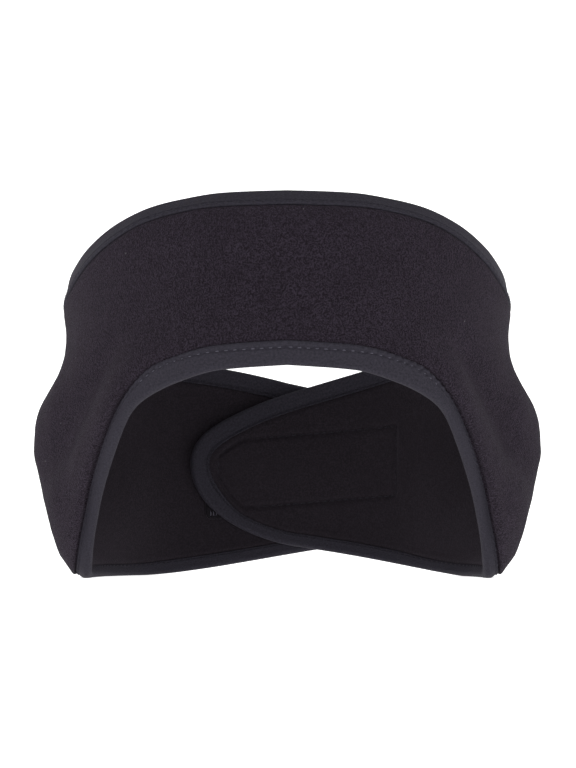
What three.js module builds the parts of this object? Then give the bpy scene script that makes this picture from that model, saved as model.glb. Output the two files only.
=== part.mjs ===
// Ear warmer headband in millimetres, +Z up, the wearer's forehead at -Y and the back of the head at +Y.
// One shaped fleece panel goes round the head and dips over both ears. A folded stretch tape binds its whole
// outline. The two rounded ends lap at the back, where a hook patch on the inner end grips a loop patch on the
// outer one. The band stands on its lower edge: on the ear lobes and on both sides of the back.
//
// Everything is laid out on one sheet with two coordinates, as the cloth is on its cutting table:
// "along" is the distance round the head from the middle of the forehead, positive towards +X, and "height" is
// the height above the surface that the band stands on. ringPlace() and sheetPoint() wrap that sheet round the
// head.
import * as THREE from "three";

// The ring that the middle of the cloth follows, seen from above.
const RING_HALF_WIDTH = 84.5;
const RING_HALF_DEPTH = 96;
const RING_SQUARENESS = 2.15; // 2 is an ellipse, more is squarer

// The finished edges, seen from the side.
const RIM_HEIGHT_AT_EARS = 112; // top edge over the ears
const RIM_RISE_TO_FRONT = 31.2; // how much higher the top edge is at the forehead
const RIM_DROP_TO_BACK = 27; // how much lower it is at the back of the head
const BROW_HEIGHT = 79; // lower edge at the middle of the forehead

// The lapped ends.
const INNER_END_REACH = 43; // the inner end, past the middle of the back
const OUTER_END_REACH = 61; // the outer end, past the middle of the back
const END_ROUNDING = 48; // length of the rounded tip
const END_TIP_HEIGHT = 46; // height of the tip's point
const TOP_TAPER = 17; // how far the top edge falls towards a tip
const TOP_TAPER_LENGTH = 100;
const LOWER_TAPER = 15; // how far the lower edge climbs towards a tip
const INNER_LOWER_TAPER_LENGTH = 150;
const OUTER_LOWER_TAPER_LENGTH = 130;
const LAP_EASE = 46; // length over which an end leaves the ring for its own layer

// Cloth, tape and fastener.
const FLEECE_THICKNESS = 3;
const MARGIN_THICKNESS = 1.8; // fleece squeezed under the tape's fold
const MARGIN_FILLING = 0.25; // share of the way back to the full thickness half way across that margin
const TAPE_THICKNESS = 0.75;
const TAPE_WIDTH_OUTSIDE = 9; // from the fold to the tape's sewn edge
const TAPE_WIDTH_INSIDE = 7.6;
const TAPE_WHOLE_NEAR_TIPS = { from: 4, to: 22 }; // distance from a tip over which its full width is lost
const FOLD_ROOM = 0.8; // the fold stands off the cloth's raw edge by this more than the tape's thickness
const PATCH_THICKNESS = 1.2;
const SEAT_GAP = 0.3; // between any two pieces that lie on each other
const HOOK_PATCH_LENGTH = 83;
const HOOK_PATCH_HEIGHT = 32;
const LOOP_PATCH_LENGTH = 85;
const LOOP_PATCH_HEIGHT = 36;
const PATCH_TO_TAPE = 0.8; // both patches follow the tape round their tip at this distance
const PATCH_NOSE = 2; // and their blunt end lies this much further in
const PATCH_CORNER = 3; // corners at the other end
const PATCH_MIDDLE_HEIGHT = 43.7; // half way along the lap
const PATCH_SLOPE = 0.082; // rise of both patches for each millimetre towards +X

// How the cloth leaves the ring, outwards if positive.
const BROW_LEAN = 6; // the forehead's top edge leans back by this
const BROW_LEAN_POWER = 1.5; // 1 is a straight slope, more keeps the lower part upright
const RIM_CURL = 9; // the rim curls in by this at the forehead
const RIM_CURL_AT_SIDES = 1.5; // and by this over the ears and at the back
const RIM_CURL_WIDTH = 15;
const EAR_BULGE = 19; // the pouch over each ear
const LOBE_TUCK = 8; // the cloth under and in front of the ears lies inside the ring by this
const TUCK_FROM = 20; // that tuck is whole below this height
const TUCK_TO = 105; // and has gone at this one
const NAPE_TUCK = 5; // the same at the back of the neck
const NAPE_HEIGHT = 45; // where the nape's tuck begins
const FOREHEAD_FADES = { from: 0.12, to: 0.42 }; // share of the girth over which the forehead's shape is lost
const NAPE_GROWS = { from: 0.62, to: 0.92 }; // and over which the back's shape comes in

// The lower edge from the forehead to the ear: girth is the share of the way from the middle of the forehead
// to the middle of the back, height is a share of BROW_HEIGHT.
const BROW_ARCH = [
  { girth: 0.0, height: 1.0 },
  { girth: 0.087, height: 0.978 },
  { girth: 0.147, height: 0.924 },
  { girth: 0.21, height: 0.84 },
  { girth: 0.237, height: 0.785 },
  { girth: 0.277, height: 0.653 },
  { girth: 0.322, height: 0.504 },
  { girth: 0.36, height: 0.375 },
  { girth: 0.4, height: 0.22 },
  { girth: 0.435, height: 0.085 },
  { girth: 0.465, height: 0.018 },
  { girth: 0.5, height: 0.0 },
];

// The top edge: rise is a share of RIM_RISE_TO_FRONT, drop is a share of RIM_DROP_TO_BACK.
const RIM_LINE = [
  { girth: 0.0, rise: 1.0, drop: 0.0 },
  { girth: 0.1, rise: 0.98, drop: 0.0 },
  { girth: 0.17, rise: 0.92, drop: 0.0 },
  { girth: 0.22, rise: 0.85, drop: 0.0 },
  { girth: 0.28, rise: 0.69, drop: 0.0 },
  { girth: 0.34, rise: 0.46, drop: 0.0 },
  { girth: 0.4, rise: 0.21, drop: 0.0 },
  { girth: 0.45, rise: 0.08, drop: 0.0 },
  { girth: 0.5, rise: 0.0, drop: 0.02 },
  { girth: 0.6, rise: 0.0, drop: 0.27 },
  { girth: 0.7, rise: 0.0, drop: 0.6 },
  { girth: 0.8, rise: 0.0, drop: 0.86 },
  { girth: 0.9, rise: 0.0, drop: 0.97 },
  { girth: 1.0, rise: 0.0, drop: 1.0 },
];

// The pouch over the ear from its ridge up to the rim, and from its ridge down to the lower edge: way is the
// share of that stretch, out is a share of EAR_BULGE.
const POUCH_ABOVE_RIDGE = [
  { way: 0.0, out: 1.0 },
  { way: 0.19, out: 0.87 },
  { way: 0.29, out: 0.72 },
  { way: 0.39, out: 0.48 },
  { way: 0.49, out: 0.24 },
  { way: 0.6, out: 0.08 },
  { way: 0.75, out: 0.0 },
  { way: 1.0, out: 0.0 },
];
const POUCH_BELOW_RIDGE = [
  { way: 0.0, out: 1.0 },
  { way: 0.33, out: 0.87 },
  { way: 0.53, out: 0.7 },
  { way: 0.68, out: 0.59 },
  { way: 0.79, out: 0.5 },
  { way: 0.87, out: 0.33 },
  { way: 0.93, out: 0.19 },
  { way: 1.0, out: 0.0 },
];

// Round the head, with girth as above: swell is the share of the whole bulge, ridge is the height of its ridge
// as a share of the cloth's height there, and tuck is the share of LOBE_TUCK.
const POUCH_ROUND_HEAD = [
  { girth: 0.0, swell: 0.0, ridge: 0.25, tuck: 0.0 },
  { girth: 0.12, swell: 0.0, ridge: 0.25, tuck: 0.05 },
  { girth: 0.2, swell: 0.0, ridge: 0.25, tuck: 0.45 },
  { girth: 0.26, swell: 0.05, ridge: 0.24, tuck: 0.85 },
  { girth: 0.32, swell: 0.14, ridge: 0.27, tuck: 1.0 },
  { girth: 0.38, swell: 0.34, ridge: 0.33, tuck: 1.0 },
  { girth: 0.44, swell: 0.75, ridge: 0.4, tuck: 1.0 },
  { girth: 0.51, swell: 1.0, ridge: 0.43, tuck: 1.0 },
  { girth: 0.58, swell: 0.82, ridge: 0.44, tuck: 0.95 },
  { girth: 0.68, swell: 0.3, ridge: 0.45, tuck: 0.6 },
  { girth: 0.78, swell: 0.0, ridge: 0.45, tuck: 0.2 },
  { girth: 0.9, swell: 0.0, ridge: 0.45, tuck: 0.0 },
  { girth: 1.0, swell: 0.0, ridge: 0.45, tuck: 0.0 },
];

// Under the ears and at the back the puffed fleece covers part of the tape's width along the lower edge: girth
// as above, and shows is the share of the width past the cloth's raw edge that stays in sight.
const TAPE_ON_LOWER_EDGE = [
  { girth: 0.0, shows: 1.0 },
  { girth: 0.16, shows: 1.0 },
  { girth: 0.25, shows: 0.38 },
  { girth: 0.36, shows: 0.36 },
  { girth: 0.46, shows: 0.48 },
  { girth: 0.7, shows: 0.45 },
  { girth: 0.84, shows: 0.62 },
  { girth: 1.0, shows: 0.58 },
];

// The tape's fold: reach is the share of its distance past the raw edge, bulge of its half thickness.
const FOLD_ROUND = [
  { reach: 0, bulge: 1 },
  { reach: 0.62, bulge: 0.8 },
  { reach: 1, bulge: 0.3 },
];

// Faceting.
const COLUMN_STEP = 8.6; // between columns, measured along the lower edge
const PANEL_ROWS = 9;
const ROW_CROWDING = 1.2; // above 1 the rows are closer together at the lower edge
const TIP_STATIONS = [0, 0.02, 0.08, 0.18, 0.31, 0.47, 0.65, 0.83]; // shares of END_ROUNDING
const PATCH_STEP = 4.5;
const PATCH_ROWS = 4;
const NOSE_STATIONS = [0, 0.6, 1.8, 3.8, 6.6, 10]; // multiples of PATCH_NOSE
const CORNER_STATIONS = [0, 0.12, 0.45, 1]; // shares of PATCH_CORNER
const RING_STEPS = 720;
const OUTLINE_STEPS = 2400;
const NORMAL_STEP = 0.5;
const INSET_STEP = 0.25;

const clamp = (value, low, high) => Math.min(high, Math.max(low, value));
const mix = (a, b, share) => a + (b - a) * share;
function ease(from, to, value) {
  const share = clamp((value - from) / (to - from), 0, 1);
  return share * share * (3 - 2 * share);
}

// A smooth curve through the rows of a table that never overshoots them (monotone cubic).
function curveThrough(rows, across, up) {
  const x = rows.map((row) => row[across]);
  const y = rows.map((row) => row[up]);
  const chord = x.slice(1).map((_, i) => (y[i + 1] - y[i]) / (x[i + 1] - x[i]));
  const slope = x.map((_, i) => {
    if (i === 0 || i === x.length - 1) return chord[Math.min(i, chord.length - 1)];
    const before = chord[i - 1];
    const after = chord[i];
    return before * after <= 0 ? 0 : (2 * before * after) / (before + after);
  });
  return (value) => {
    const at = clamp(value, x[0], x[x.length - 1]);
    let i = 0;
    while (i < x.length - 2 && at > x[i + 1]) i++;
    const width = x[i + 1] - x[i];
    const t = (at - x[i]) / width;
    const rise = y[i + 1] - y[i];
    const startSlope = slope[i] * width;
    const endSlope = slope[i + 1] * width;
    const bend = (startSlope + endSlope - 2 * rise) * t + 3 * rise - 2 * startSlope - endSlope;
    return y[i] + t * (startSlope + t * bend);
  };
}

const browArch = curveThrough(BROW_ARCH, "girth", "height");
const rimRise = curveThrough(RIM_LINE, "girth", "rise");
const rimDrop = curveThrough(RIM_LINE, "girth", "drop");
const pouchAbove = curveThrough(POUCH_ABOVE_RIDGE, "way", "out");
const pouchBelow = curveThrough(POUCH_BELOW_RIDGE, "way", "out");
const pouchSwell = curveThrough(POUCH_ROUND_HEAD, "girth", "swell");
const pouchRidge = curveThrough(POUCH_ROUND_HEAD, "girth", "ridge");
const lobeTuck = curveThrough(POUCH_ROUND_HEAD, "girth", "tuck");
const tapeShows = curveThrough(TAPE_ON_LOWER_EDGE, "girth", "shows");

// The ring as a superellipse round the head's axis: turn is the angle from the forehead.
function ringRadius(turn) {
  const across = Math.pow(Math.abs(Math.sin(turn)) / RING_HALF_WIDTH, RING_SQUARENESS);
  const deep = Math.pow(Math.abs(Math.cos(turn)) / RING_HALF_DEPTH, RING_SQUARENESS);
  return Math.pow(across + deep, -1 / RING_SQUARENESS);
}
const ringX = (turn) => ringRadius(turn) * Math.sin(turn);
const ringY = (turn) => -ringRadius(turn) * Math.cos(turn);

const ringLengths = [0];
for (let i = 1; i <= RING_STEPS; i++) {
  const before = ((i - 1) * Math.PI) / RING_STEPS;
  const after = (i * Math.PI) / RING_STEPS;
  const step = Math.hypot(ringX(after) - ringX(before), ringY(after) - ringY(before));
  ringLengths.push(ringLengths[i - 1] + step);
}
const HALF_GIRTH = ringLengths[RING_STEPS];

// The place on the ring at a distance from the forehead, with the outward direction there.
function ringPlace(along) {
  const side = Math.sign(along) || 1;
  const whole = Math.abs(along);
  const folded = whole > HALF_GIRTH ? 2 * HALF_GIRTH - whole : whole;
  let low = 0;
  let high = RING_STEPS;
  while (high - low > 1) {
    const middle = (low + high) >> 1;
    if (ringLengths[middle] <= folded) low = middle;
    else high = middle;
  }
  const part = (folded - ringLengths[low]) / (ringLengths[high] - ringLengths[low]);
  const turn = ((low + part) * Math.PI) / RING_STEPS;
  const x = ringX(turn);
  const y = ringY(turn);
  const outX = Math.pow(Math.abs(x) / RING_HALF_WIDTH, RING_SQUARENESS - 1) / RING_HALF_WIDTH;
  const outY = (Math.sign(y) * Math.pow(Math.abs(y) / RING_HALF_DEPTH, RING_SQUARENESS - 1)) / RING_HALF_DEPTH;
  const size = Math.hypot(outX, outY);
  const flip = whole > HALF_GIRTH ? -side : side;
  return { x: flip * x, y, outX: (flip * outX) / size, outY: outY / size, girth: folded / HALF_GIRTH };
}

// The two edge lines as they run round the head before the ends taper.
const rimHeight = ({ girth }) =>
  RIM_HEIGHT_AT_EARS + RIM_RISE_TO_FRONT * rimRise(girth) - RIM_DROP_TO_BACK * rimDrop(girth);
const lowerHeight = ({ girth }) => BROW_HEIGHT * browArch(girth);

// The far ends of the sheet, and the distance from a place to its own half's tip.
const INNER_TIP = HALF_GIRTH + INNER_END_REACH; // the +X half, next to the head
const OUTER_TIP = HALF_GIRTH + OUTER_END_REACH; // the -X half, on the outside
const toTip = (along) => (along < 0 ? OUTER_TIP + along : INNER_TIP - along);

// The finished edges with their taper and rounded tips.
function edgeHeights(along) {
  const place = ringPlace(along);
  const tip = Math.max(0, toTip(along));
  const top = rimHeight(place) - TOP_TAPER * (1 - ease(0, TOP_TAPER_LENGTH, tip));
  const lowerTaperLength = along < 0 ? OUTER_LOWER_TAPER_LENGTH : INNER_LOWER_TAPER_LENGTH;
  const low = lowerHeight(place) + LOWER_TAPER * (1 - ease(0, lowerTaperLength, tip));
  const inward = 1 - clamp(tip / END_ROUNDING, 0, 1);
  const open = Math.sqrt(Math.max(0, 1 - inward * inward));
  return { low: mix(END_TIP_HEIGHT, low, open), top: mix(END_TIP_HEIGHT, top, open) };
}

// How far the layers of the lapped ends stand off the ring: the inner end inwards, the outer end outwards.
const LAYER_PITCH = FLEECE_THICKNESS + 2 * PATCH_THICKNESS + 3 * SEAT_GAP;
const LAP_CLEAR = TAPE_WIDTH_OUTSIDE; // both layers are apart this far before the other one's tip
const LAP_MIDDLE = (OUTER_END_REACH - INNER_END_REACH) / 2;
function lapOffset(along) {
  const inner = along >= 0;
  const otherTip = HALF_GIRTH - (inner ? OUTER_END_REACH : INNER_END_REACH) - LAP_CLEAR;
  const apart = ease(otherTip - LAP_EASE, otherTip, Math.abs(along));
  return ((inner ? -1 : 1) * LAYER_PITCH * apart) / 2;
}

// How far the cloth stands out from the ring at a height.
function swell(along, height) {
  const place = ringPlace(along);
  const low = lowerHeight(place);
  const rim = rimHeight(place);
  const share = clamp((height - low) / (rim - low), 0, 1);
  const front = 1 - ease(FOREHEAD_FADES.from, FOREHEAD_FADES.to, place.girth);
  const back = ease(NAPE_GROWS.from, NAPE_GROWS.to, place.girth);
  const ridge = pouchRidge(place.girth);
  const pouch = share > ridge ? pouchAbove((share - ridge) / (1 - ridge)) : pouchBelow(1 - share / ridge);
  const nearRim = clamp(1 - (rim - height) / RIM_CURL_WIDTH, 0, 1);
  const nape = clamp(1 - height / NAPE_HEIGHT, 0, 1);
  return (
    EAR_BULGE * pouchSwell(place.girth) * pouch -
    LOBE_TUCK * lobeTuck(place.girth) * (1 - ease(TUCK_FROM, TUCK_TO, height)) -
    BROW_LEAN * front * Math.pow(share, BROW_LEAN_POWER) -
    mix(RIM_CURL_AT_SIDES, RIM_CURL, front) * nearRim * nearRim -
    NAPE_TUCK * back * nape * nape +
    lapOffset(along)
  );
}

// A point of the cloth's middle surface, its outward normal, and a point at a distance off that surface.
function sheetPoint(along, height) {
  const place = ringPlace(along);
  const out = swell(along, height);
  return new THREE.Vector3(place.x + place.outX * out, place.y + place.outY * out, height);
}
function sheetNormal(along, height) {
  const round = sheetPoint(along + NORMAL_STEP, height).sub(sheetPoint(along - NORMAL_STEP, height));
  const up = sheetPoint(along, height + NORMAL_STEP).sub(sheetPoint(along, height - NORMAL_STEP));
  return round.cross(up).normalize();
}
const offSheet = (along, height, distance) =>
  sheetPoint(along, height).addScaledVector(sheetNormal(along, height), distance);

// The columns of the sheet: close together at the tips, and evenly spaced along the lower edge between them.
function columnPlaces() {
  const tips = TIP_STATIONS.map((share) => share * END_ROUNDING);
  const from = -OUTER_TIP + END_ROUNDING;
  const to = INNER_TIP - END_ROUNDING;
  const places = [from];
  const lengths = [0];
  for (let i = 1; i <= OUTLINE_STEPS; i++) {
    const along = mix(from, to, i / OUTLINE_STEPS);
    const climb = edgeHeights(along).low - edgeHeights(places[i - 1]).low;
    places.push(along);
    lengths.push(lengths[i - 1] + Math.hypot(along - places[i - 1], climb));
  }
  const total = lengths[OUTLINE_STEPS];
  const count = Math.round(total / COLUMN_STEP);
  const between = [];
  for (let i = 0, k = 0; i <= count; i++) {
    while (k < OUTLINE_STEPS && lengths[k] < (total * i) / count) k++;
    between.push(places[k]);
  }
  return [...tips.map((tip) => -OUTER_TIP + tip), ...between, ...tips.map((tip) => INNER_TIP - tip).reverse()];
}

// The share of the tape's width that shows on the lower edge at a place.
function lowerTape(along) {
  const { from, to } = TAPE_WHOLE_NEAR_TIPS;
  return mix(1, tapeShows(ringPlace(along).girth), ease(from, to, toTip(along)));
}

// The finished outline as a closed list of places on the sheet: the lower edge from the outer tip to the inner
// one, then the top edge back again. shows is the share of the tape's width in sight there, and inward is the
// direction across the edge into the cloth.
const columns = columnPlaces();
const lastColumn = columns.length - 1;
const outline = [
  ...columns.map((along) => ({ along, height: edgeHeights(along).low, shows: lowerTape(along) })),
  ...columns
    .slice(1, lastColumn)
    .reverse()
    .map((along) => ({ along, height: edgeHeights(along).top, shows: 1 })),
];
outline.forEach((spot, i) => {
  const before = outline[(i + outline.length - 1) % outline.length];
  const after = outline[(i + 1) % outline.length];
  const run = after.along - before.along;
  const climb = after.height - before.height;
  const size = Math.hypot(run, climb);
  spot.inward = { along: -climb / size, height: run / size };
});

// The place on the sheet that lies a true distance inside an outline spot, measured over the curved cloth.
function insideEdge(spot, distance) {
  let done = 0;
  let place = { along: spot.along, height: spot.height };
  let point = sheetPoint(place.along, place.height);
  while (done < distance) {
    const next = {
      along: place.along + spot.inward.along * INSET_STEP,
      height: place.height + spot.inward.height * INSET_STEP,
    };
    const nextPoint = sheetPoint(next.along, next.height);
    const moved = nextPoint.distanceTo(point);
    const share = Math.min(1, (distance - done) / moved);
    place = { along: mix(place.along, next.along, share), height: mix(place.height, next.height, share) };
    point = nextPoint;
    done += moved;
  }
  return place;
}

// The finished outline is the tape's fold. The cloth's raw edge lies inside it by FOLD_REACH, and inset is the
// distance from that raw edge into the cloth, which swells from its squeezed margin to its own thickness. Where
// less of the tape shows, every inset is less by the same share.
const FOLD_REACH = TAPE_THICKNESS + FOLD_ROOM;
const SEWN_OUTSIDE = TAPE_WIDTH_OUTSIDE - FOLD_REACH;
const SEWN_INSIDE = TAPE_WIDTH_INSIDE - FOLD_REACH;
const MARGIN = [
  { inset: 0, half: MARGIN_THICKNESS / 2 },
  { inset: SEWN_OUTSIDE / 2, half: mix(MARGIN_THICKNESS, FLEECE_THICKNESS, MARGIN_FILLING) / 2 },
  { inset: SEWN_OUTSIDE, half: FLEECE_THICKNESS / 2 },
];
outline.forEach((spot) => {
  spot.margin = MARGIN.map(({ inset }) => insideEdge(spot, FOLD_REACH + inset * spot.shows));
});

// A point beside the cloth's margin: side is 1 outside and -1 inside, lift is its distance off the cloth.
function besideMargin(spot, inset, side, lift) {
  const first = inset < MARGIN[1].inset ? 0 : 1;
  const share = (inset - MARGIN[first].inset) / (MARGIN[first + 1].inset - MARGIN[first].inset);
  const [from, to] = [first, first + 1].map((ring) => {
    const { along, height } = spot.margin[ring];
    return offSheet(along, height, side * (MARGIN[ring].half + lift));
  });
  return from.lerp(to, share);
}

// A point past the cloth's raw edge: reach is its distance beyond the edge, off is as in offSheet().
function beyondEdge(spot, reach, off) {
  const [raw, next] = spot.margin;
  const edge = sheetPoint(raw.along, raw.height);
  const outward = edge.clone().sub(sheetPoint(next.along, next.height)).normalize();
  return edge.addScaledVector(outward, reach).addScaledVector(sheetNormal(raw.along, raw.height), off);
}

// Where the band stands, its own weight presses each layer flat at a level of its own.
const TAPE_LEVEL = 0;
const TAPE_LINING_LEVEL = TAPE_THICKNESS;
const FLEECE_LEVEL = TAPE_THICKNESS + SEAT_GAP;
function pressed(point, level) {
  point.z = Math.max(level, point.z);
  return point;
}

// A mesh from a list of points and triangles, with shared corners.
function solidMesh(name, points, triangles, material) {
  const geometry = new THREE.BufferGeometry();
  const numbers = points.flatMap(({ x, y, z }) => [x, y, z]);
  geometry.setAttribute("position", new THREE.Float32BufferAttribute(numbers, 3));
  geometry.setIndex(triangles.flat());
  geometry.computeVertexNormals();
  const mesh = new THREE.Mesh(geometry, material);
  mesh.name = name;
  return mesh;
}

// Both faces of the fleece: rings that follow the outline under the tape, rows across the middle, and a fan at
// each tip. The raw edge joins the two faces.
function fleeceBand(material) {
  const points = [];
  const triangles = [];
  const faces = [1, -1].map((face) => {
    const rings = MARGIN.map(({ half }, ring) =>
      outline.map(({ margin }) => {
        const place = margin[ring];
        points.push(pressed(offSheet(place.along, place.height, face * half), FLEECE_LEVEL));
        return { index: points.length - 1, place };
      }),
    );
    const turned = (a, b, c) => triangles.push(face > 0 ? [a, b, c] : [a, c, b]);
    for (let ring = 0; ring < rings.length - 1; ring++) {
      outline.forEach((_, i) => {
        const next = (i + 1) % outline.length;
        const [a, b] = [rings[ring][i].index, rings[ring][next].index];
        const [c, d] = [rings[ring + 1][next].index, rings[ring + 1][i].index];
        turned(a, b, c);
        turned(a, c, d);
      });
    }
    const innermost = rings[rings.length - 1];
    const column = (i) => {
      const low = innermost[i];
      const top = innermost[outline.length - i];
      const list = [low.index];
      for (let row = 1; row < PANEL_ROWS; row++) {
        const share = Math.pow(row / PANEL_ROWS, ROW_CROWDING);
        const along = mix(low.place.along, top.place.along, share);
        const height = mix(low.place.height, top.place.height, share);
        points.push(offSheet(along, height, (face * FLEECE_THICKNESS) / 2));
        list.push(points.length - 1);
      }
      list.push(top.index);
      return list;
    };
    let left = column(1);
    for (let row = 0; row < PANEL_ROWS; row++) turned(innermost[0].index, left[row], left[row + 1]);
    for (let i = 2; i < lastColumn; i++) {
      const right = column(i);
      for (let row = 0; row < PANEL_ROWS; row++) {
        turned(left[row], right[row], right[row + 1]);
        turned(left[row], right[row + 1], left[row + 1]);
      }
      left = right;
    }
    for (let row = 0; row < PANEL_ROWS; row++) turned(left[row], innermost[lastColumn].index, left[row + 1]);
    return rings[0];
  });
  outline.forEach((_, i) => {
    const next = (i + 1) % outline.length;
    const [a, b] = [faces[1][i].index, faces[1][next].index];
    const [c, d] = [faces[0][next].index, faces[0][i].index];
    triangles.push([a, b, c], [a, c, d]);
  });
  return solidMesh("fleece_band", points, triangles, material);
}

// The tape follows the whole outline and closes on itself. Its section runs over the outer face from the sewn
// edge outside, round the fold, to the sewn edge inside, and back along the face that lies on the cloth.
function edgeBinding(material) {
  const skin = SEAT_GAP + TAPE_THICKNESS;
  const middle = MARGIN[1].inset;
  const thickest = MARGIN[0].half + skin;
  const section = (spot) => [
    besideMargin(spot, SEWN_OUTSIDE, 1, skin),
    besideMargin(spot, middle, 1, skin),
    ...FOLD_ROUND.map(({ reach, bulge }) => beyondEdge(spot, reach * FOLD_REACH, bulge * thickest)),
    ...FOLD_ROUND.map(({ reach, bulge }) => beyondEdge(spot, reach * FOLD_REACH, -bulge * thickest)).reverse(),
    besideMargin(spot, middle, -1, skin),
    besideMargin(spot, SEWN_INSIDE, -1, skin),
  ];
  const lining = (spot) => [
    besideMargin(spot, SEWN_INSIDE, -1, SEAT_GAP),
    besideMargin(spot, middle, -1, SEAT_GAP),
    beyondEdge(spot, SEAT_GAP, -MARGIN[0].half - SEAT_GAP),
    beyondEdge(spot, SEAT_GAP, MARGIN[0].half + SEAT_GAP),
    besideMargin(spot, middle, 1, SEAT_GAP),
    besideMargin(spot, SEWN_OUTSIDE, 1, SEAT_GAP),
  ];
  const loops = outline.map((spot) => [
    ...section(spot).map((point) => pressed(point, TAPE_LEVEL)),
    ...lining(spot).map((point) => pressed(point, TAPE_LINING_LEVEL)),
  ]);
  const size = loops[0].length;
  const insideFrom = 2 + FOLD_ROUND.length;
  const insideTo = size - 4;
  const triangles = [];
  loops.forEach((_, i) => {
    const next = (i + 1) % loops.length;
    for (let j = 0; j < size; j++) {
      const after = (j + 1) % size;
      const [a, b] = [i * size + j, next * size + j];
      const [c, d] = [next * size + after, i * size + after];
      const inside = j >= insideFrom && j < insideTo;
      if (inside) triangles.push([b, a, d], [b, d, c]);
      else triangles.push([a, c, b], [a, d, c]);
    }
  });
  return solidMesh("edge_binding", loops.flat(), triangles, material);
}

// The heights between which the cloth is free at a place: clear of a leg of the tape that ends at sewn.
function roomBesideTape(sewn) {
  const ring = outline.map((spot) => insideEdge(spot, FOLD_REACH + sewn * spot.shows + PATCH_TO_TAPE));
  const lower = ring.slice(0, lastColumn + 1);
  const upper = columns.map((_, i) => ring[(outline.length - i) % outline.length]);
  const heightOn = (line, along) => {
    let i = 1;
    while (i < lastColumn && line[i].along < along) i++;
    const share = (along - line[i - 1].along) / (line[i].along - line[i - 1].along);
    return mix(line[i - 1].height, line[i].height, share);
  };
  return (along) => ({ low: heightOn(lower, along), top: heightOn(upper, along) });
}

// A patch of fastener, sewn to one face of the cloth and cut to follow the tape round the tip. towards is the
// direction along the sheet from the tip into the cloth, sewn is the inset of the tape's edge on that face, and
// face is 1 on the outside of the cloth and -1 on the inside.
function fastenerPatch(name, { tip, towards, sewn, length, tall, face }, material) {
  const nearTip = tip + towards * (FOLD_REACH + sewn + PATCH_TO_TAPE + PATCH_NOSE);
  const room = roomBesideTape(sewn);
  const nose = NOSE_STATIONS.map((share) => share * PATCH_NOSE);
  const corner = CORNER_STATIONS.map((share) => length - share * PATCH_CORNER).reverse();
  const straight = corner[0] - nose[nose.length - 1];
  const steps = Math.round(straight / PATCH_STEP);
  const stations = [
    ...nose,
    ...Array.from({ length: steps - 1 }, (_, i) => nose[nose.length - 1] + (straight * (i + 1)) / steps),
    ...corner,
  ];
  const heights = (station, along) => {
    const beyond = 1 - clamp((length - station) / PATCH_CORNER, 0, 1);
    const half = tall / 2 - PATCH_CORNER * (1 - Math.sqrt(1 - beyond * beyond));
    const rise = PATCH_SLOPE * (sheetPoint(along, PATCH_MIDDLE_HEIGHT).x - LAP_MIDDLE);
    const middle = PATCH_MIDDLE_HEIGHT + rise;
    const { low, top } = room(along);
    return { low: Math.max(low, middle - half), top: Math.min(top, middle + half) };
  };
  const seat = FLEECE_THICKNESS / 2 + SEAT_GAP;
  const points = [];
  const [back, grip] = [seat, seat + PATCH_THICKNESS].map((off) =>
    stations.map((station) => {
      const along = nearTip + towards * station;
      const { low, top } = heights(station, along);
      return Array.from({ length: PATCH_ROWS + 1 }, (_, row) => {
        points.push(offSheet(along, mix(low, top, row / PATCH_ROWS), face * off));
        return points.length - 1;
      });
    }),
  );
  const triangles = [];
  const inwards = towards * face < 0;
  const quad = (a, b, c, d) => {
    if (inwards) triangles.push([a, d, c], [a, c, b]);
    else triangles.push([a, b, c], [a, c, d]);
  };
  const last = stations.length - 1;
  for (let i = 0; i < last; i++) {
    for (let row = 0; row < PATCH_ROWS; row++) {
      quad(grip[i][row], grip[i + 1][row], grip[i + 1][row + 1], grip[i][row + 1]);
      quad(back[i][row], back[i][row + 1], back[i + 1][row + 1], back[i + 1][row]);
    }
    quad(back[i][0], back[i + 1][0], grip[i + 1][0], grip[i][0]);
    quad(back[i][PATCH_ROWS], grip[i][PATCH_ROWS], grip[i + 1][PATCH_ROWS], back[i + 1][PATCH_ROWS]);
  }
  for (let row = 0; row < PATCH_ROWS; row++) {
    quad(back[0][row], grip[0][row], grip[0][row + 1], back[0][row + 1]);
    quad(back[last][row], back[last][row + 1], grip[last][row + 1], grip[last][row]);
  }
  return solidMesh(name, points, triangles, material);
}

const fleece = new THREE.MeshStandardMaterial({ color: 0x2b262d, roughness: 1, metalness: 0 });
const tape = new THREE.MeshStandardMaterial({ color: 0x2e2e38, roughness: 0.85, metalness: 0 });
const fastener = new THREE.MeshStandardMaterial({ color: 0x1d1c20, roughness: 0.95, metalness: 0 });

const headband = new THREE.Group();
headband.add(fleeceBand(fleece), edgeBinding(tape));
headband.add(
  fastenerPatch(
    "hook_patch",
    {
      tip: INNER_TIP,
      towards: -1,
      sewn: SEWN_OUTSIDE,
      length: HOOK_PATCH_LENGTH,
      tall: HOOK_PATCH_HEIGHT,
      face: 1,
    },
    fastener,
  ),
);
headband.add(
  fastenerPatch(
    "loop_patch",
    {
      tip: -OUTER_TIP,
      towards: 1,
      sewn: SEWN_INSIDE,
      length: LOOP_PATCH_LENGTH,
      tall: LOOP_PATCH_HEIGHT,
      face: -1,
    },
    fastener,
  ),
);

// The origin is on the surface that the band stands on, under the middle of the whole band.
const reach = new THREE.Box3().setFromObject(headband, true);
headband.position.set(-(reach.min.x + reach.max.x) / 2, -(reach.min.y + reach.max.y) / 2, -reach.min.z);

export default headband;
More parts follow.
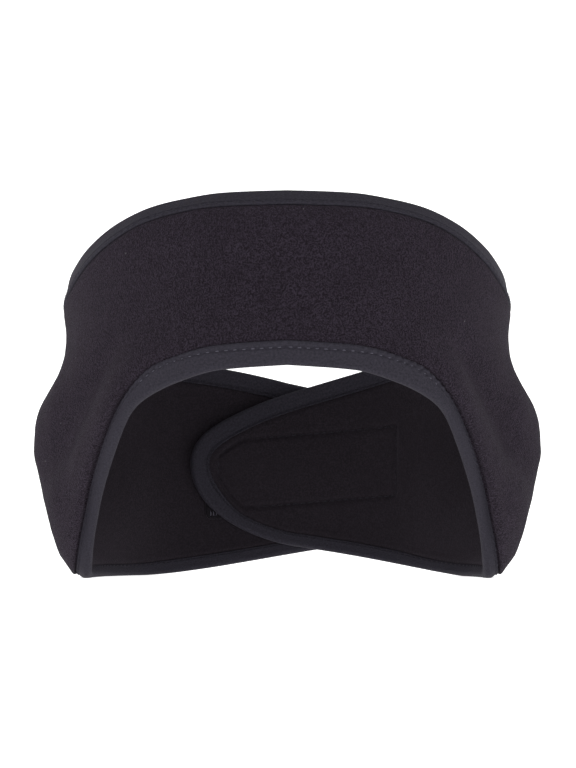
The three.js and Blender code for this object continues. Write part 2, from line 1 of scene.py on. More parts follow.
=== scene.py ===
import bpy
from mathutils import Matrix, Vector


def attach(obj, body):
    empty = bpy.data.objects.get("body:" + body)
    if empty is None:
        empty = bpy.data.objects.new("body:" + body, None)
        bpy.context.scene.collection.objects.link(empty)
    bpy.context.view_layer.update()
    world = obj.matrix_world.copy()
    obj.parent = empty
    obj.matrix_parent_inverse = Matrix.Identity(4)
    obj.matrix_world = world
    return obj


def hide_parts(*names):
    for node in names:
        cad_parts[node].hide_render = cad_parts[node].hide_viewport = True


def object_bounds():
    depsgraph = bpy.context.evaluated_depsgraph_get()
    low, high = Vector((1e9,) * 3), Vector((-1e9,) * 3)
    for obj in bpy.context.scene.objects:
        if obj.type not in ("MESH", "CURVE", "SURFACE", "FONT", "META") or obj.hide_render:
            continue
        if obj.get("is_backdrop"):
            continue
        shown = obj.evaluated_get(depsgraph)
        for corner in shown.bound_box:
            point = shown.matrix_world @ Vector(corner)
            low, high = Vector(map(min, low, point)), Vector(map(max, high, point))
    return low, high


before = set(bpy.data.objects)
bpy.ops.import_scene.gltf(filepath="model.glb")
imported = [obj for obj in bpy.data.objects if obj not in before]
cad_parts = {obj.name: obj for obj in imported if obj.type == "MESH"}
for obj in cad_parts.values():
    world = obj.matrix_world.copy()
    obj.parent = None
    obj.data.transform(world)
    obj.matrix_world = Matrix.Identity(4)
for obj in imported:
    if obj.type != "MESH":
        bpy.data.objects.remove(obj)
cad_box = [list(map(float, corner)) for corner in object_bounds()]

# Dresses the fleece ear warmer headband: the napped panel, the folded tape, the seams and the fastener.
# The cloth is worked out on the same sheet as its solids: "along" is the distance round the head from the
# middle of the forehead, positive towards +X, and "height" is the height above the table, both in millimetres.
import math
from types import SimpleNamespace

import bpy
import numpy as np
from bpy.props import FloatProperty, FloatVectorProperty, PointerProperty
from mathutils import Vector

bl_info = {
    "name": "Ear Warmer Headband",
    "version": (1, 0, 0),
    "blender": (4, 5, 0),
    "location": "3D View > Sidebar > Ear Warmer",
    "description": "Fleece ear warmer headband with bound edges and a hook-and-loop lap",
    "category": "Add Mesh",
}

MM = 0.001
STEPS_PER_STITCH = 4

# The ring that the middle of the cloth follows, and the part's own origin measured from its centre.
RING_HALF_WIDTH, RING_HALF_DEPTH, RING_SQUARENESS = 84.5, 96.0, 2.15
RING_SHIFT = (0.0175, -1.7252)
# The finished edges.
RIM_HEIGHT_AT_EARS, RIM_RISE_TO_FRONT, RIM_DROP_TO_BACK, BROW_HEIGHT = 112.0, 31.2, 27.0, 79.0
# The lapped ends.
INNER_END_REACH, OUTER_END_REACH, END_ROUNDING, END_TIP_HEIGHT = 43.0, 61.0, 48.0, 46.0
TOP_TAPER, TOP_TAPER_LENGTH = 17.0, 100.0
LOWER_TAPER, INNER_LOWER_TAPER_LENGTH, OUTER_LOWER_TAPER_LENGTH = 15.0, 150.0, 130.0
LAP_EASE = 46.0
# Cloth, tape and fastener.
FLEECE_THICKNESS, MARGIN_THICKNESS, MARGIN_FILLING = 3.0, 1.8, 0.25
TAPE_THICKNESS, TAPE_WIDTH_OUTSIDE, TAPE_WIDTH_INSIDE, FOLD_ROOM = 0.75, 9.0, 7.6, 0.8
PATCH_THICKNESS, SEAT_GAP, PATCH_TO_TAPE, PATCH_NOSE, PATCH_CORNER = 1.2, 0.3, 0.8, 2.0, 3.0
PATCH_MIDDLE_HEIGHT, PATCH_SLOPE = 43.7, 0.082
TAPE_WHOLE_NEAR_TIPS = (4.0, 22.0)
FOLD_REACH = TAPE_THICKNESS + FOLD_ROOM
SEWN_OUTSIDE = TAPE_WIDTH_OUTSIDE - FOLD_REACH
SEWN_INSIDE = TAPE_WIDTH_INSIDE - FOLD_REACH
SEAM_FROM_EDGE, SEAM_FROM_EDGE_ON_TOP, SEAM_FROM_EDGE_INSIDE, SEAM_NEARER_ON_SHOULDERS = 2.5, 1.9, 1.1, 0.9
SHOULDER_PLACE, SHOULDER_SPREAD = 0.15, 0.06
PATCH_SEAM_INSET = 1.8
# The relief of the fleece: soft waves, nap, the ear folds (start, end, width, share of the fold's height), and
# the roll along the tape. A tape of which less than this share shows is covered by the roll.
WAVE_HEIGHT, WAVE_PITCH, NAP_PITCH = 0.30, 31, 2.8
EAR_FOLDS = (((62, 80), (131, 22), 8.5, 1.0), ((77, 84), (125, 45), 7.5, -0.9))
ROLL_WIDTH, ROLL_NARROWS, ROLL_TAIL, COVERED_SHARE = 2.2, 0.7, 5.0, 0.6
PATCH_VALLEY_WIDTH, FAR_OFF = 0.85, 30.0
# The relief of the tape.
LIP_HEIGHT, LIP_PLACE, LIP_WIDTH = 0.32, 1.1, 0.8
GROOVE_DEPTH, GROOVE_WIDTH, HOLE_DEPTH, HOLE_WIDTH, WAVE_ON_TAPE = 0.55, 0.38, 0.15, 0.45, 0.10
# The fleece's mesh: its rings' distances from the raw edge under the tape, then from the tape's edge on the
# inner face, and on the outer face where the roll overhangs the tape.
RINGS_UNDER_TAPE = (0, 2.4, 4.6, 6.05, 6.9, SEWN_OUTSIDE)
RINGS_BESIDE_TAPE = (0.1, 0.3, 0.6, 0.9, 1.4, 2.1, 3.2)
RINGS_OVER_TAPE = (0.55, 0.5, 0.0, 0.1, 0.55, 1.5, 3.2)
FLEECE_ROWS, FLEECE_PITCH, LAP_PITCH, LAP_FROM, LAP_TO = 48, 1.6, 1.05, 170, 215
THREAD_RINGS, THREAD_SIDES = 7, 6
# The stage, in metres and watts: each lamp's place, what it faces, its side and its power.
FLOOR_HALF_WIDTH, FLOOR_FRONT, FLOOR_BACK, SWEEP_RADIUS, WALL_TOP = 3.0, -3.2, 1.6, 0.9, 3.0
LAMPS = (("left_softbox", (-1.7, -0.9, 0.35), (0, 0, 0.07), 1.2, 24),
         ("right_softbox", (1.7, -0.9, 0.35), (0, 0, 0.07), 1.2, 24),
         ("front_softbox", (0, -2.3, 0.25), (0, 0, 0.05), 0.5, 11),
         ("top_softbox", (0, 0.2, 2.3), (0, 0, 0.05), 1.6, 14))
CAMERA_DISTANCE, CAMERA_TILT, CAMERA_TARGET = 1.5, 2, (0.0003, 0, 0.0755)
FOCAL_PIXELS, FRAME_PIXELS, SENSOR = 3846, 768, 36
SHEEN_TINT = (0.90, 0.76, 0.95, 1)
# How the cloth leaves the ring.
BROW_LEAN, BROW_LEAN_POWER = 6.0, 1.5
RIM_CURL, RIM_CURL_AT_SIDES, RIM_CURL_WIDTH = 9.0, 1.5, 15.0
EAR_BULGE, LOBE_TUCK, TUCK_FROM, TUCK_TO = 19.0, 8.0, 20.0, 105.0
NAPE_TUCK, NAPE_HEIGHT = 5.0, 45.0
FOREHEAD_FADES, NAPE_GROWS = (0.12, 0.42), (0.62, 0.92)

BROW_ARCH = ((0, 1), (0.087, 0.978), (0.147, 0.924), (0.21, 0.84), (0.237, 0.785), (0.277, 0.653),
             (0.322, 0.504), (0.36, 0.375), (0.4, 0.22), (0.435, 0.085), (0.465, 0.018), (0.5, 0))
RIM_RISE = ((0, 1), (0.1, 0.98), (0.17, 0.92), (0.22, 0.85), (0.28, 0.69), (0.34, 0.46), (0.4, 0.21),
            (0.45, 0.08), (0.5, 0), (1, 0))
RIM_DROP = ((0, 0), (0.45, 0), (0.5, 0.02), (0.6, 0.27), (0.7, 0.6), (0.8, 0.86), (0.9, 0.97), (1, 1))
POUCH_ABOVE = ((0, 1), (0.19, 0.87), (0.29, 0.72), (0.39, 0.48), (0.49, 0.24), (0.6, 0.08), (0.75, 0),
               (1, 0))
POUCH_BELOW = ((0, 1), (0.33, 0.87), (0.53, 0.7), (0.68, 0.59), (0.79, 0.5), (0.87, 0.33), (0.93, 0.19),
               (1, 0))
POUCH_SWELL = ((0, 0), (0.2, 0), (0.26, 0.05), (0.32, 0.14), (0.38, 0.34), (0.44, 0.75), (0.51, 1),
               (0.58, 0.82), (0.68, 0.3), (0.78, 0), (1, 0))
POUCH_RIDGE = ((0, 0.25), (0.2, 0.25), (0.26, 0.24), (0.32, 0.27), (0.38, 0.33), (0.44, 0.4), (0.51, 0.43),
               (0.58, 0.44), (0.68, 0.45), (1, 0.45))
TUCK_ROUND = ((0, 0), (0.12, 0.05), (0.2, 0.45), (0.26, 0.85), (0.32, 1), (0.51, 1), (0.58, 0.95),
              (0.68, 0.6), (0.78, 0.2), (0.9, 0), (1, 0))
TAPE_ON_LOWER_EDGE = ((0, 1), (0.16, 1), (0.25, 0.38), (0.36, 0.36), (0.46, 0.48), (0.7, 0.45), (0.84, 0.62),
                      (1, 0.58))


def mix(a, b, share):
    return a + (b - a) * share


def ease(start, end, value):
    """Nought before start, one after end, and 3t^2 - 2t^3 between them."""
    t = np.clip((value - start) / (end - start), 0, 1)
    return t * t * (3 - 2 * t)


def bell(distance, width):
    """exp(-(distance / width)^2)."""
    return np.exp(-(distance / width) ** 2)


def unit(vectors):
    return vectors / np.linalg.norm(vectors, axis=-1, keepdims=True)


def running_total(steps):
    """The sums of the steps so far, from nought."""
    return np.concatenate([[0], np.cumsum(steps)])


def side_by_side(*columns):
    return np.stack(columns, -1)


def curve_through(rows):
    """A monotone cubic through the rows: each slope is the harmonic mean of the chords beside it."""
    x, y = np.array(rows, float).T
    width = np.diff(x)
    chord = np.diff(y) / width
    before, after = chord[:-1], chord[1:]
    total = np.where(before + after == 0, 1, before + after)
    inner = np.where(before * after > 0, 2 * before * after / total, 0)
    slope = np.concatenate([chord[:1], inner, chord[-1:]])

    def value(at):
        at = np.clip(at, x[0], x[-1])
        i = np.clip(np.searchsorted(x, at) - 1, 0, len(x) - 2)
        t = (at - x[i]) / width[i]
        rise = y[i + 1] - y[i]
        first, last = slope[i] * width[i], slope[i + 1] * width[i]
        return y[i] + t * (first + t * (3 * rise - 2 * first - last + t * (first + last - 2 * rise)))

    return value


brow_arch, rim_rise, rim_drop = curve_through(BROW_ARCH), curve_through(RIM_RISE), curve_through(RIM_DROP)
pouch_above, pouch_below = curve_through(POUCH_ABOVE), curve_through(POUCH_BELOW)
pouch_swell, pouch_ridge = curve_through(POUCH_SWELL), curve_through(POUCH_RIDGE)
tuck_round, tape_shows = curve_through(TUCK_ROUND), curve_through(TAPE_ON_LOWER_EDGE)

# The ring as a superellipse, and its length from the forehead at each turn.
turns = np.linspace(0, math.pi, 1441)
ring_radius = (np.abs(np.sin(turns) / RING_HALF_WIDTH) ** RING_SQUARENESS
               + np.abs(np.cos(turns) / RING_HALF_DEPTH) ** RING_SQUARENESS) ** (-1 / RING_SQUARENESS)
ring_x, ring_y = ring_radius * np.sin(turns), -ring_radius * np.cos(turns)
ring_lengths = running_total(np.hypot(np.diff(ring_x), np.diff(ring_y)))
HALF_GIRTH = ring_lengths[-1]
INNER_TIP, OUTER_TIP = HALF_GIRTH + INNER_END_REACH, HALF_GIRTH + OUTER_END_REACH


def ring_place(along):
    """The ring's point at a distance from the forehead, its outward direction, and the share of the girth."""
    whole = np.abs(along)
    folded = np.where(whole > HALF_GIRTH, 2 * HALF_GIRTH - whole, whole)
    side = np.where(along < 0, -1, 1) * np.where(whole > HALF_GIRTH, -1, 1)
    x, y = np.interp(folded, ring_lengths, ring_x), np.interp(folded, ring_lengths, ring_y)
    out_x = np.abs(x / RING_HALF_WIDTH) ** (RING_SQUARENESS - 1) / RING_HALF_WIDTH
    out_y = np.sign(y) * np.abs(y / RING_HALF_DEPTH) ** (RING_SQUARENESS - 1) / RING_HALF_DEPTH
    size = np.hypot(out_x, out_y)
    return side * x, y, side * out_x / size, out_y / size, folded / HALF_GIRTH


def rim_height(girth):
    return RIM_HEIGHT_AT_EARS + RIM_RISE_TO_FRONT * rim_rise(girth) - RIM_DROP_TO_BACK * rim_drop(girth)


def to_tip(along):
    return np.maximum(0, np.where(along < 0, OUTER_TIP + along, INNER_TIP - along))


def tape_share(along, on_top):
    """The share of the tape's width in sight: all of it on the top edge and round both tips."""
    whole_again = ease(*TAPE_WHOLE_NEAR_TIPS, to_tip(along))
    return np.where(on_top, 1, mix(1, tape_shows(ring_place(along)[4]), whole_again))


def covered(shows):
    """How far the fleece's roll covers the tape, from the share of the tape in sight."""
    return np.clip((1 - shows) / COVERED_SHARE, 0, 1)


def arch_shoulder(along):
    """One on the arch's two shoulders, where the tape turns down, and nought away from them."""
    return bell(ring_place(along)[4] - SHOULDER_PLACE, SHOULDER_SPREAD)


def seam_from_edge(along, on_top):
    """The distance of the tape's seam from its sewn edge outside, blended round the tips. It comes nearer to
    the edge on the arch's shoulders."""
    top = mix(SEAM_FROM_EDGE, SEAM_FROM_EDGE_ON_TOP, ease(0, 40, to_tip(along)))
    return np.where(on_top, top, SEAM_FROM_EDGE - SEAM_NEARER_ON_SHOULDERS * arch_shoulder(along))


def edge_heights(along):
    """The finished lower and top edge at each place, with their tapers and elliptic tips."""
    girth, tip = ring_place(along)[4], to_tip(along)
    lower_length = np.where(along < 0, OUTER_LOWER_TAPER_LENGTH, INNER_LOWER_TAPER_LENGTH)
    top = rim_height(girth) - TOP_TAPER * (1 - ease(0, TOP_TAPER_LENGTH, tip))
    low = BROW_HEIGHT * brow_arch(girth) + LOWER_TAPER * (1 - ease(0, lower_length, tip))
    inward = 1 - np.clip(tip / END_ROUNDING, 0, 1)
    opened = np.sqrt(np.maximum(0, 1 - inward * inward))
    return mix(END_TIP_HEIGHT, low, opened), mix(END_TIP_HEIGHT, top, opened)


def lap_offset(along):
    """Half a layer's pitch inwards for the inner end, outwards for the outer one, eased in before the lap."""
    other_tip = HALF_GIRTH - np.where(along >= 0, OUTER_END_REACH, INNER_END_REACH) - TAPE_WIDTH_OUTSIDE
    pitch = FLEECE_THICKNESS + 2 * PATCH_THICKNESS + 3 * SEAT_GAP
    return np.where(along >= 0, -1, 1) * pitch / 2 * ease(other_tip - LAP_EASE, other_tip, np.abs(along))


def sheet_point(along, height):
    """The middle of the cloth: the ring's point moved outwards by pouch, tucks, lean, rim curl and lap."""
    x, y, out_x, out_y, girth = ring_place(along)
    low, rim = BROW_HEIGHT * brow_arch(girth), rim_height(girth)
    share = np.clip((height - low) / (rim - low), 0, 1)
    front, back = 1 - ease(*FOREHEAD_FADES, girth), ease(*NAPE_GROWS, girth)
    ridge = pouch_ridge(girth)
    pouch = np.where(share > ridge, pouch_above((share - ridge) / (1 - ridge)),
                     pouch_below(1 - share / ridge))
    near_rim = np.clip(1 - (rim - height) / RIM_CURL_WIDTH, 0, 1)
    nape = np.clip(1 - height / NAPE_HEIGHT, 0, 1)
    out = (EAR_BULGE * pouch_swell(girth) * pouch
           - LOBE_TUCK * tuck_round(girth) * (1 - ease(TUCK_FROM, TUCK_TO, height))
           - BROW_LEAN * front * share ** BROW_LEAN_POWER
           - mix(RIM_CURL_AT_SIDES, RIM_CURL, front) * near_rim ** 2
           - NAPE_TUCK * back * nape ** 2 + lap_offset(along))
    return side_by_side(x + out_x * out + RING_SHIFT[0], y + out_y * out + RING_SHIFT[1], height + 0 * x)


def sheet_normal(along, height, step=0.5):
    """The outward normal: the cross product of the cloth's two directions, from differences over step."""
    around = sheet_point(along + step, height) - sheet_point(along - step, height)
    up = sheet_point(along, height + step) - sheet_point(along, height - step)
    return unit(np.cross(around, up))


def cloth_at(along, height):
    """The cloth's middle and its outward normal at places on the sheet."""
    return sheet_point(along, height), sheet_normal(along, height)


def way_along(line):
    """The direction of a closed line at each point, from its neighbours' difference."""
    return unit(np.roll(line, -1, axis=0) - np.roll(line, 1, axis=0))


def finished_outline(pitch):
    """The fold's line as places on the sheet, whole stitches apart: lower edge from the outer tip to the inner
    one, then the top edge back. Each tip is sampled as 1 - cos of an even angle, then all is respaced by its
    true length over the curved cloth. The last two results are that length and the share of tape in sight."""
    tip = END_ROUNDING * (1 - np.cos(np.linspace(0, math.pi / 2, 200)))
    middle = np.linspace(-OUTER_TIP + END_ROUNDING, INNER_TIP - END_ROUNDING, 3001)[1:-1]
    along = np.concatenate([-OUTER_TIP + tip, middle, (INNER_TIP - tip)[::-1]])
    low, top = edge_heights(along)
    along = np.concatenate([along, along[-2::-1]])
    height = np.concatenate([low, top[-2::-1]])
    length = running_total(np.linalg.norm(np.diff(sheet_point(along, height), axis=0), axis=1))
    spaced = np.linspace(0, length[-1], round(length[-1] / pitch) * STEPS_PER_STITCH + 1)[:-1]
    along, height = np.interp(spaced, length, along), np.interp(spaced, length, height)
    return along, height, length[-1], tape_share(along, np.arange(len(along)) > along.argmax())


def inward_of(along, height):
    """The direction across a closed line into the cloth, as its neighbours' difference turned a quarter."""
    run, climb = np.roll(along, -1) - np.roll(along, 1), np.roll(height, -1) - np.roll(height, 1)
    size = np.hypot(run, climb)
    return -climb / size, run / size


def inside_edge(along, height, distances):
    """The places that lie inside a closed line, measured over the curved cloth: a row of distances, one for
    each place, makes a row of places."""
    in_along, in_height = inward_of(along, height)
    steps = np.arange(int(distances.max() / 0.2) + 20)[:, None] * 0.25
    path_along, path_height = along + in_along * steps, height + in_height * steps
    points = sheet_point(path_along, path_height)
    moved = np.linalg.norm(np.diff(points, axis=0), axis=-1)
    done = np.concatenate([np.zeros((1, len(along))), np.cumsum(moved, axis=0)])
    spot = np.arange(len(along))
    places = []
    for distance in distances:
        k = np.clip((done < distance).sum(axis=0), 1, len(steps) - 1)
        share = (distance - done[k - 1, spot]) / (done[k, spot] - done[k - 1, spot])
        places.append((mix(path_along[k - 1, spot], path_along[k, spot], share),
                       mix(path_height[k - 1, spot], path_height[k, spot], share)))
    return np.array(places).transpose(1, 0, 2)


def margin_half(inset):
    """Half the cloth's thickness at a distance inside its raw edge: squeezed there, whole at the seam's end."""
    return np.interp(inset, [0, SEWN_OUTSIDE / 2, SEWN_OUTSIDE],
                     [MARGIN_THICKNESS / 2, mix(MARGIN_THICKNESS, FLEECE_THICKNESS, MARGIN_FILLING) / 2,
                      FLEECE_THICKNESS / 2])


def lattice_noise(u, v, pitch, seed):
    """Smooth noise from -1 to 1: seeded values on a square lattice, eased between its four corners."""
    table = np.random.default_rng(seed).uniform(-1, 1, (512, 512))
    i, j = np.floor(u / pitch).astype(int), np.floor(v / pitch).astype(int)
    s, t = ease(0, 1, u / pitch - i), ease(0, 1, v / pitch - j)
    corner = lambda a, b: table[(i + a) % 512, (j + b) % 512]
    return mix(mix(corner(0, 0), corner(1, 0), s), mix(corner(0, 1), corner(1, 1), s), t)


def crease(along, height, start, end, width, depth):
    """A soft fold on a straight line of the sheet: a bell across the line, eased in and out along it."""
    start, end = np.array(start, float), np.array(end, float)
    way = end - start
    size = np.hypot(*way)
    run = ((along - start[0]) * way[0] + (height - start[1]) * way[1]) / size
    across = ((height - start[1]) * way[0] - (along - start[0]) * way[1]) / size
    wide = width * np.interp(run / size, [0, 1], [0.75, 1.3])
    depth = depth * np.interp(run / size, [0, 1], [0.75, 1.25])
    return depth * bell(across, wide) * ease(-0.3, 0.15, run / size) * (1 - ease(0.8, 1.35, run / size))


PATCHES = {
    "hook": {"tip": INNER_TIP, "towards": -1, "sewn": SEWN_OUTSIDE, "length": 83.0, "tall": 32.0, "face": 1},
    "loop": {"tip": -OUTER_TIP, "towards": 1, "sewn": SEWN_INSIDE, "length": 85.0, "tall": 36.0, "face": -1},
}
LAP_MIDDLE = (OUTER_END_REACH - INNER_END_REACH) / 2


def patch_middle(along):
    """The height of a patch's middle line: a steady slope against the distance across the lap."""
    x = sheet_point(along, PATCH_MIDDLE_HEIGHT + 0 * along)[..., 0] - RING_SHIFT[0]
    return PATCH_MIDDLE_HEIGHT + PATCH_SLOPE * (x - LAP_MIDDLE)


def patch_places(patch, station):
    """The places on the sheet at distances from a patch's blunt nose, which lies behind the tape at the tip."""
    nose = FOLD_REACH + patch["sewn"] + PATCH_TO_TAPE + PATCH_NOSE
    return patch["tip"] + patch["towards"] * (nose + station)


def patch_sides(patch, along, half, inside):
    """The heights of a patch's lower and upper side: lines at half its height from its middle, or the line
    beside the tape where that comes first."""
    line_along, line_height, _, shows = finished_outline(3.0)
    reach = FOLD_REACH + patch["sewn"] * shows + PATCH_TO_TAPE + inside
    ring_along, ring_height = inside_edge(line_along, line_height, reach[None])[:, 0]
    turn = line_along.argmax()
    low = np.interp(along, np.maximum.accumulate(ring_along[:turn + 1]), ring_height[:turn + 1])
    top = np.interp(along, np.maximum.accumulate(ring_along[:turn - 1:-1]), ring_height[:turn - 1:-1])
    middle = patch_middle(along)
    return np.maximum(low, middle - half), np.minimum(top, middle + half)


def patch_line(patch, inside, pitch):
    """A closed line inside a patch's edge, as places a pitch apart on the sheet. It keeps closer to the edge
    round the nose than along the sides and the far end."""
    along = patch_places(patch, np.linspace(0.6 * inside, patch["length"] - inside, 400))
    low, top = patch_sides(patch, along, patch["tall"] / 2 - inside, 0.6 * inside)
    along = np.concatenate([along[::-1], along, along[-1:]])
    height = np.concatenate([low[::-1], top, low[-1:]])
    length = running_total(np.hypot(np.diff(along), np.diff(height)))
    count = round(length[-1] / pitch)
    spaced = (np.arange(count) + 0.5) * length[-1] / count
    return np.interp(spaced, length, along), np.interp(spaced, length, height)


def distance_to(line, along, height):
    """The distance on the sheet from each place to the nearest point of a line, or FAR_OFF beyond its ends."""
    distance = np.full(along.shape, FAR_OFF)
    near = (along > line[0].min() - 6) & (along < line[0].max() + 6)
    gaps = np.hypot(along[near][:, None] - line[0], height[near][:, None] - line[1])
    distance[near] = gaps.min(axis=1)
    return distance


def cloth_relief(along, height, away, shows, face, cloth):
    """How far the napped face stands off the even cloth, with "away" the distance from the tape's sewn edge:
    long soft waves, pills, the folds over the ears, the roll along the tape, which puffs up to cover it where
    less of it shows, and the valleys that the patches' seams pull in."""
    seed = 11 if face > 0 else 23
    out = WAVE_HEIGHT * lattice_noise(along, height, WAVE_PITCH, seed) * ease(0, 14, away)
    nap = cloth.nap_height * (0.6 if face > 0 else 0.3)
    out = out + nap * lattice_noise(along, height, NAP_PITCH, seed + 1)
    for side in (-1, 1):
        out = out + face * sum(crease(side * along, height, start, end, width, share * cloth.ear_fold)
                               for start, end, width, share in EAR_FOLDS)
    cover = covered(shows)
    rise = cloth.seam_roll * (1 + cover) * (1 if face > 0 else 0.45)
    width = ROLL_WIDTH - ROLL_NARROWS * cover
    front = np.sqrt(1 - (1 - np.clip(away / width, 0, 1)) ** 2)
    out = out * ease(-0.5, 2.0, away) + rise * front * np.exp(-np.clip(away - width, 0, None) / ROLL_TAIL)
    for patch in PATCHES.values():
        line = patch_line(patch, PATCH_SEAM_INSET, 0.5)
        pull = cloth.seam_pull if patch["face"] != face else 0.3 * cloth.seam_pull
        out = out - pull * bell(distance_to(line, along, height), PATCH_VALLEY_WIDTH)
    return out


def grid_quads(rows, columns, closed_rows=False, closed_columns=False):
    """The four corners of each cell of a grid stored row after row."""
    i = np.arange(rows if closed_rows else rows - 1)[:, None]
    j = np.arange(columns if closed_columns else columns - 1)[None, :]
    i2, j2 = (i + 1) % rows, (j + 1) % columns
    return side_by_side(i * columns + j, i2 * columns + j, i2 * columns + j2, i * columns + j2).reshape(-1, 4)


def make_piece(name, points, faces, corner_uv=None, finish=None):
    """A mesh object from points in millimetres and groups of equal-sided faces, at the origin and smooth."""
    old = bpy.data.objects.get(name)
    if old:
        bpy.data.objects.remove(old)
    mesh = bpy.data.meshes.new(name)
    corners = np.concatenate([group.ravel() for group in faces])
    sides = np.concatenate([np.full(len(group), group.shape[1]) for group in faces])
    mesh.vertices.add(len(points))
    mesh.vertices.foreach_set("co", (points * MM).astype(np.float32).ravel())
    mesh.loops.add(len(corners))
    mesh.loops.foreach_set("vertex_index", corners.astype(np.int32))
    mesh.polygons.add(len(sides))
    mesh.polygons.foreach_set("loop_start", running_total(sides)[:-1].astype(np.int32))
    mesh.update(calc_edges=True)
    mesh.polygons.foreach_set("use_smooth", np.ones(len(sides), bool))
    if finish is not None:
        mesh.polygons.foreach_set("material_index", finish.astype(np.int32))
    if corner_uv is not None:
        layer = mesh.uv_layers.new(name="cloth")
        layer.data.foreach_set("uv", (corner_uv * MM).astype(np.float32).ravel())
    if mesh.validate():
        raise RuntimeError(f"{name} has faulty faces")
    piece = bpy.data.objects.new(name, mesh)
    bpy.context.collection.objects.link(piece)
    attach(piece, "root")
    return piece


def size_property(name, description, default, least, most):
    return FloatProperty(name=name, description=description, default=default, min=least, max=most,
                         precision=5, unit="LENGTH")


def colour_property(name, description, default):
    return FloatVectorProperty(name=name, description=description, default=default, size=3, min=0, max=1,
                               subtype="COLOR")


class EarWarmerSizes(bpy.types.PropertyGroup):
    """Sizes of the nap, the seams and the folds."""

    nap_height: size_property("Nap height", "Height of the fleece's pills", 0.00012, 0, 0.001)
    seam_roll: size_property("Seam roll", "How far the fleece puffs up beside the tape", 0.0009, 0, 0.002)
    ear_fold: size_property("Ear fold", "Height of the slanting fold over each ear", 0.0040, 0, 0.005)
    stitch_pitch: size_property("Stitch pitch", "From one stitch to the next", 0.0032, 0.002, 0.006)
    thread_width: size_property("Thread width", "Thickness of the sewing thread", 0.00036, 0.0002, 0.001)
    pucker: size_property("Pucker", "Height of the tape's small waves between stitches", 0.00022, 0, 0.0005)
    seam_pull: size_property("Seam pull", "How deep the patches' seams sink into the cloth", 0.0012, 0, 0.0016)


class EarWarmerColours(bpy.types.PropertyGroup):
    """Colours of the cloth, tape, thread and fastener."""

    fleece: colour_property("Fleece", "Napped outer face", (0.0078, 0.0050, 0.0083))
    pills: colour_property("Pills", "Raised tufts of the outer face", (0.0500, 0.0392, 0.0580))
    lining: colour_property("Inner face", "Smoother face against the head", (0.0122, 0.0098, 0.0127))
    tape: colour_property("Tape", "Folded stretch tape", (0.0248, 0.0227, 0.0308))
    # The seam thread is given a lighter colour than its own dark one: painted highlight of its gloss, for the
    # stitches along the arch and the tacks.
    thread: colour_property("Thread", "Sewing thread of the tape's seam", (0.080, 0.076, 0.098))
    # The same seam thread darkened with painted shade, for the stitches inside and round the patches.
    shaded_thread: colour_property("Sunken thread", "Thread deep in the cloth", (0.018, 0.0165, 0.022))
    fastener: colour_property("Fastener", "Hook and loop patches", (0.0090, 0.0077, 0.0098))


def chosen(context):
    """The user's sizes in millimetres, and the colours."""
    sizes = context.scene.ear_warmer_sizes
    cloth = SimpleNamespace(**{name: getattr(sizes, name) / MM for name in sizes.__annotations__})
    return cloth, context.scene.ear_warmer_colours


def feed(tree, socket, value):
    """Links a value that is a socket, and sets one that is a plain number or colour."""
    if isinstance(value, bpy.types.NodeSocket):
        tree.links.new(value, socket)
    else:
        socket.default_value = value


def made(tree, kind, values, **settings):
    """The outputs of a new node, from its settings and its inputs' values."""
    new = tree.nodes.new(kind)
    for name, value in settings.items():
        setattr(new, name, value)
    for socket, value in values.items():
        feed(tree, new.inputs[socket], value)
    return new.outputs


def arithmetic(tree, operation, *values, clamp=False):
    """A Math node's result."""
    return made(tree, "ShaderNodeMath", dict(enumerate(values)), operation=operation, use_clamp=clamp)[0]


def noise(tree, place, scale, detail, roughness, lacunarity=2.0):
    """A Noise node's value."""
    return made(tree, "ShaderNodeTexNoise", {"Vector": place, "Scale": scale, "Detail": detail,
                                             "Roughness": roughness, "Lacunarity": lacunarity})["Fac"]


def moved_range(tree, value, low, high, new_low=0, new_high=1, way="LINEAR"):
    """A value carried from one range to another and held within it."""
    ranges = {"Value": value, "From Min": low, "From Max": high, "To Min": new_low, "To Max": new_high}
    return made(tree, "ShaderNodeMapRange", ranges, interpolation_type=way)["Result"]


def blend_colours(tree, share, first, second):
    """The colour at a share of the way from the first to the second: the Mix node's colour sockets."""
    return made(tree, "ShaderNodeMix", {0: share, 6: first, 7: second}, data_type="RGBA")[2]


COLOUR, NUMBER, DIRECTION = "NodeSocketColor", "NodeSocketFloat", "NodeSocketVector"


def new_group(name, inputs):
    """A shader node group that puts out a colour and a height: its tree, what it is given and its result."""
    tree = bpy.data.node_groups.new(name, "ShaderNodeTree")
    for label, kind, value in inputs:
        socket = tree.interface.new_socket(label, in_out="INPUT", socket_type=kind)
        if value is not None:
            socket.default_value = value
    for label, kind in (("Color", COLOUR), ("Height", NUMBER)):
        tree.interface.new_socket(label, in_out="OUTPUT", socket_type=kind)
    return tree, tree.nodes.new("NodeGroupInput").outputs, tree.nodes.new("NodeGroupOutput").inputs


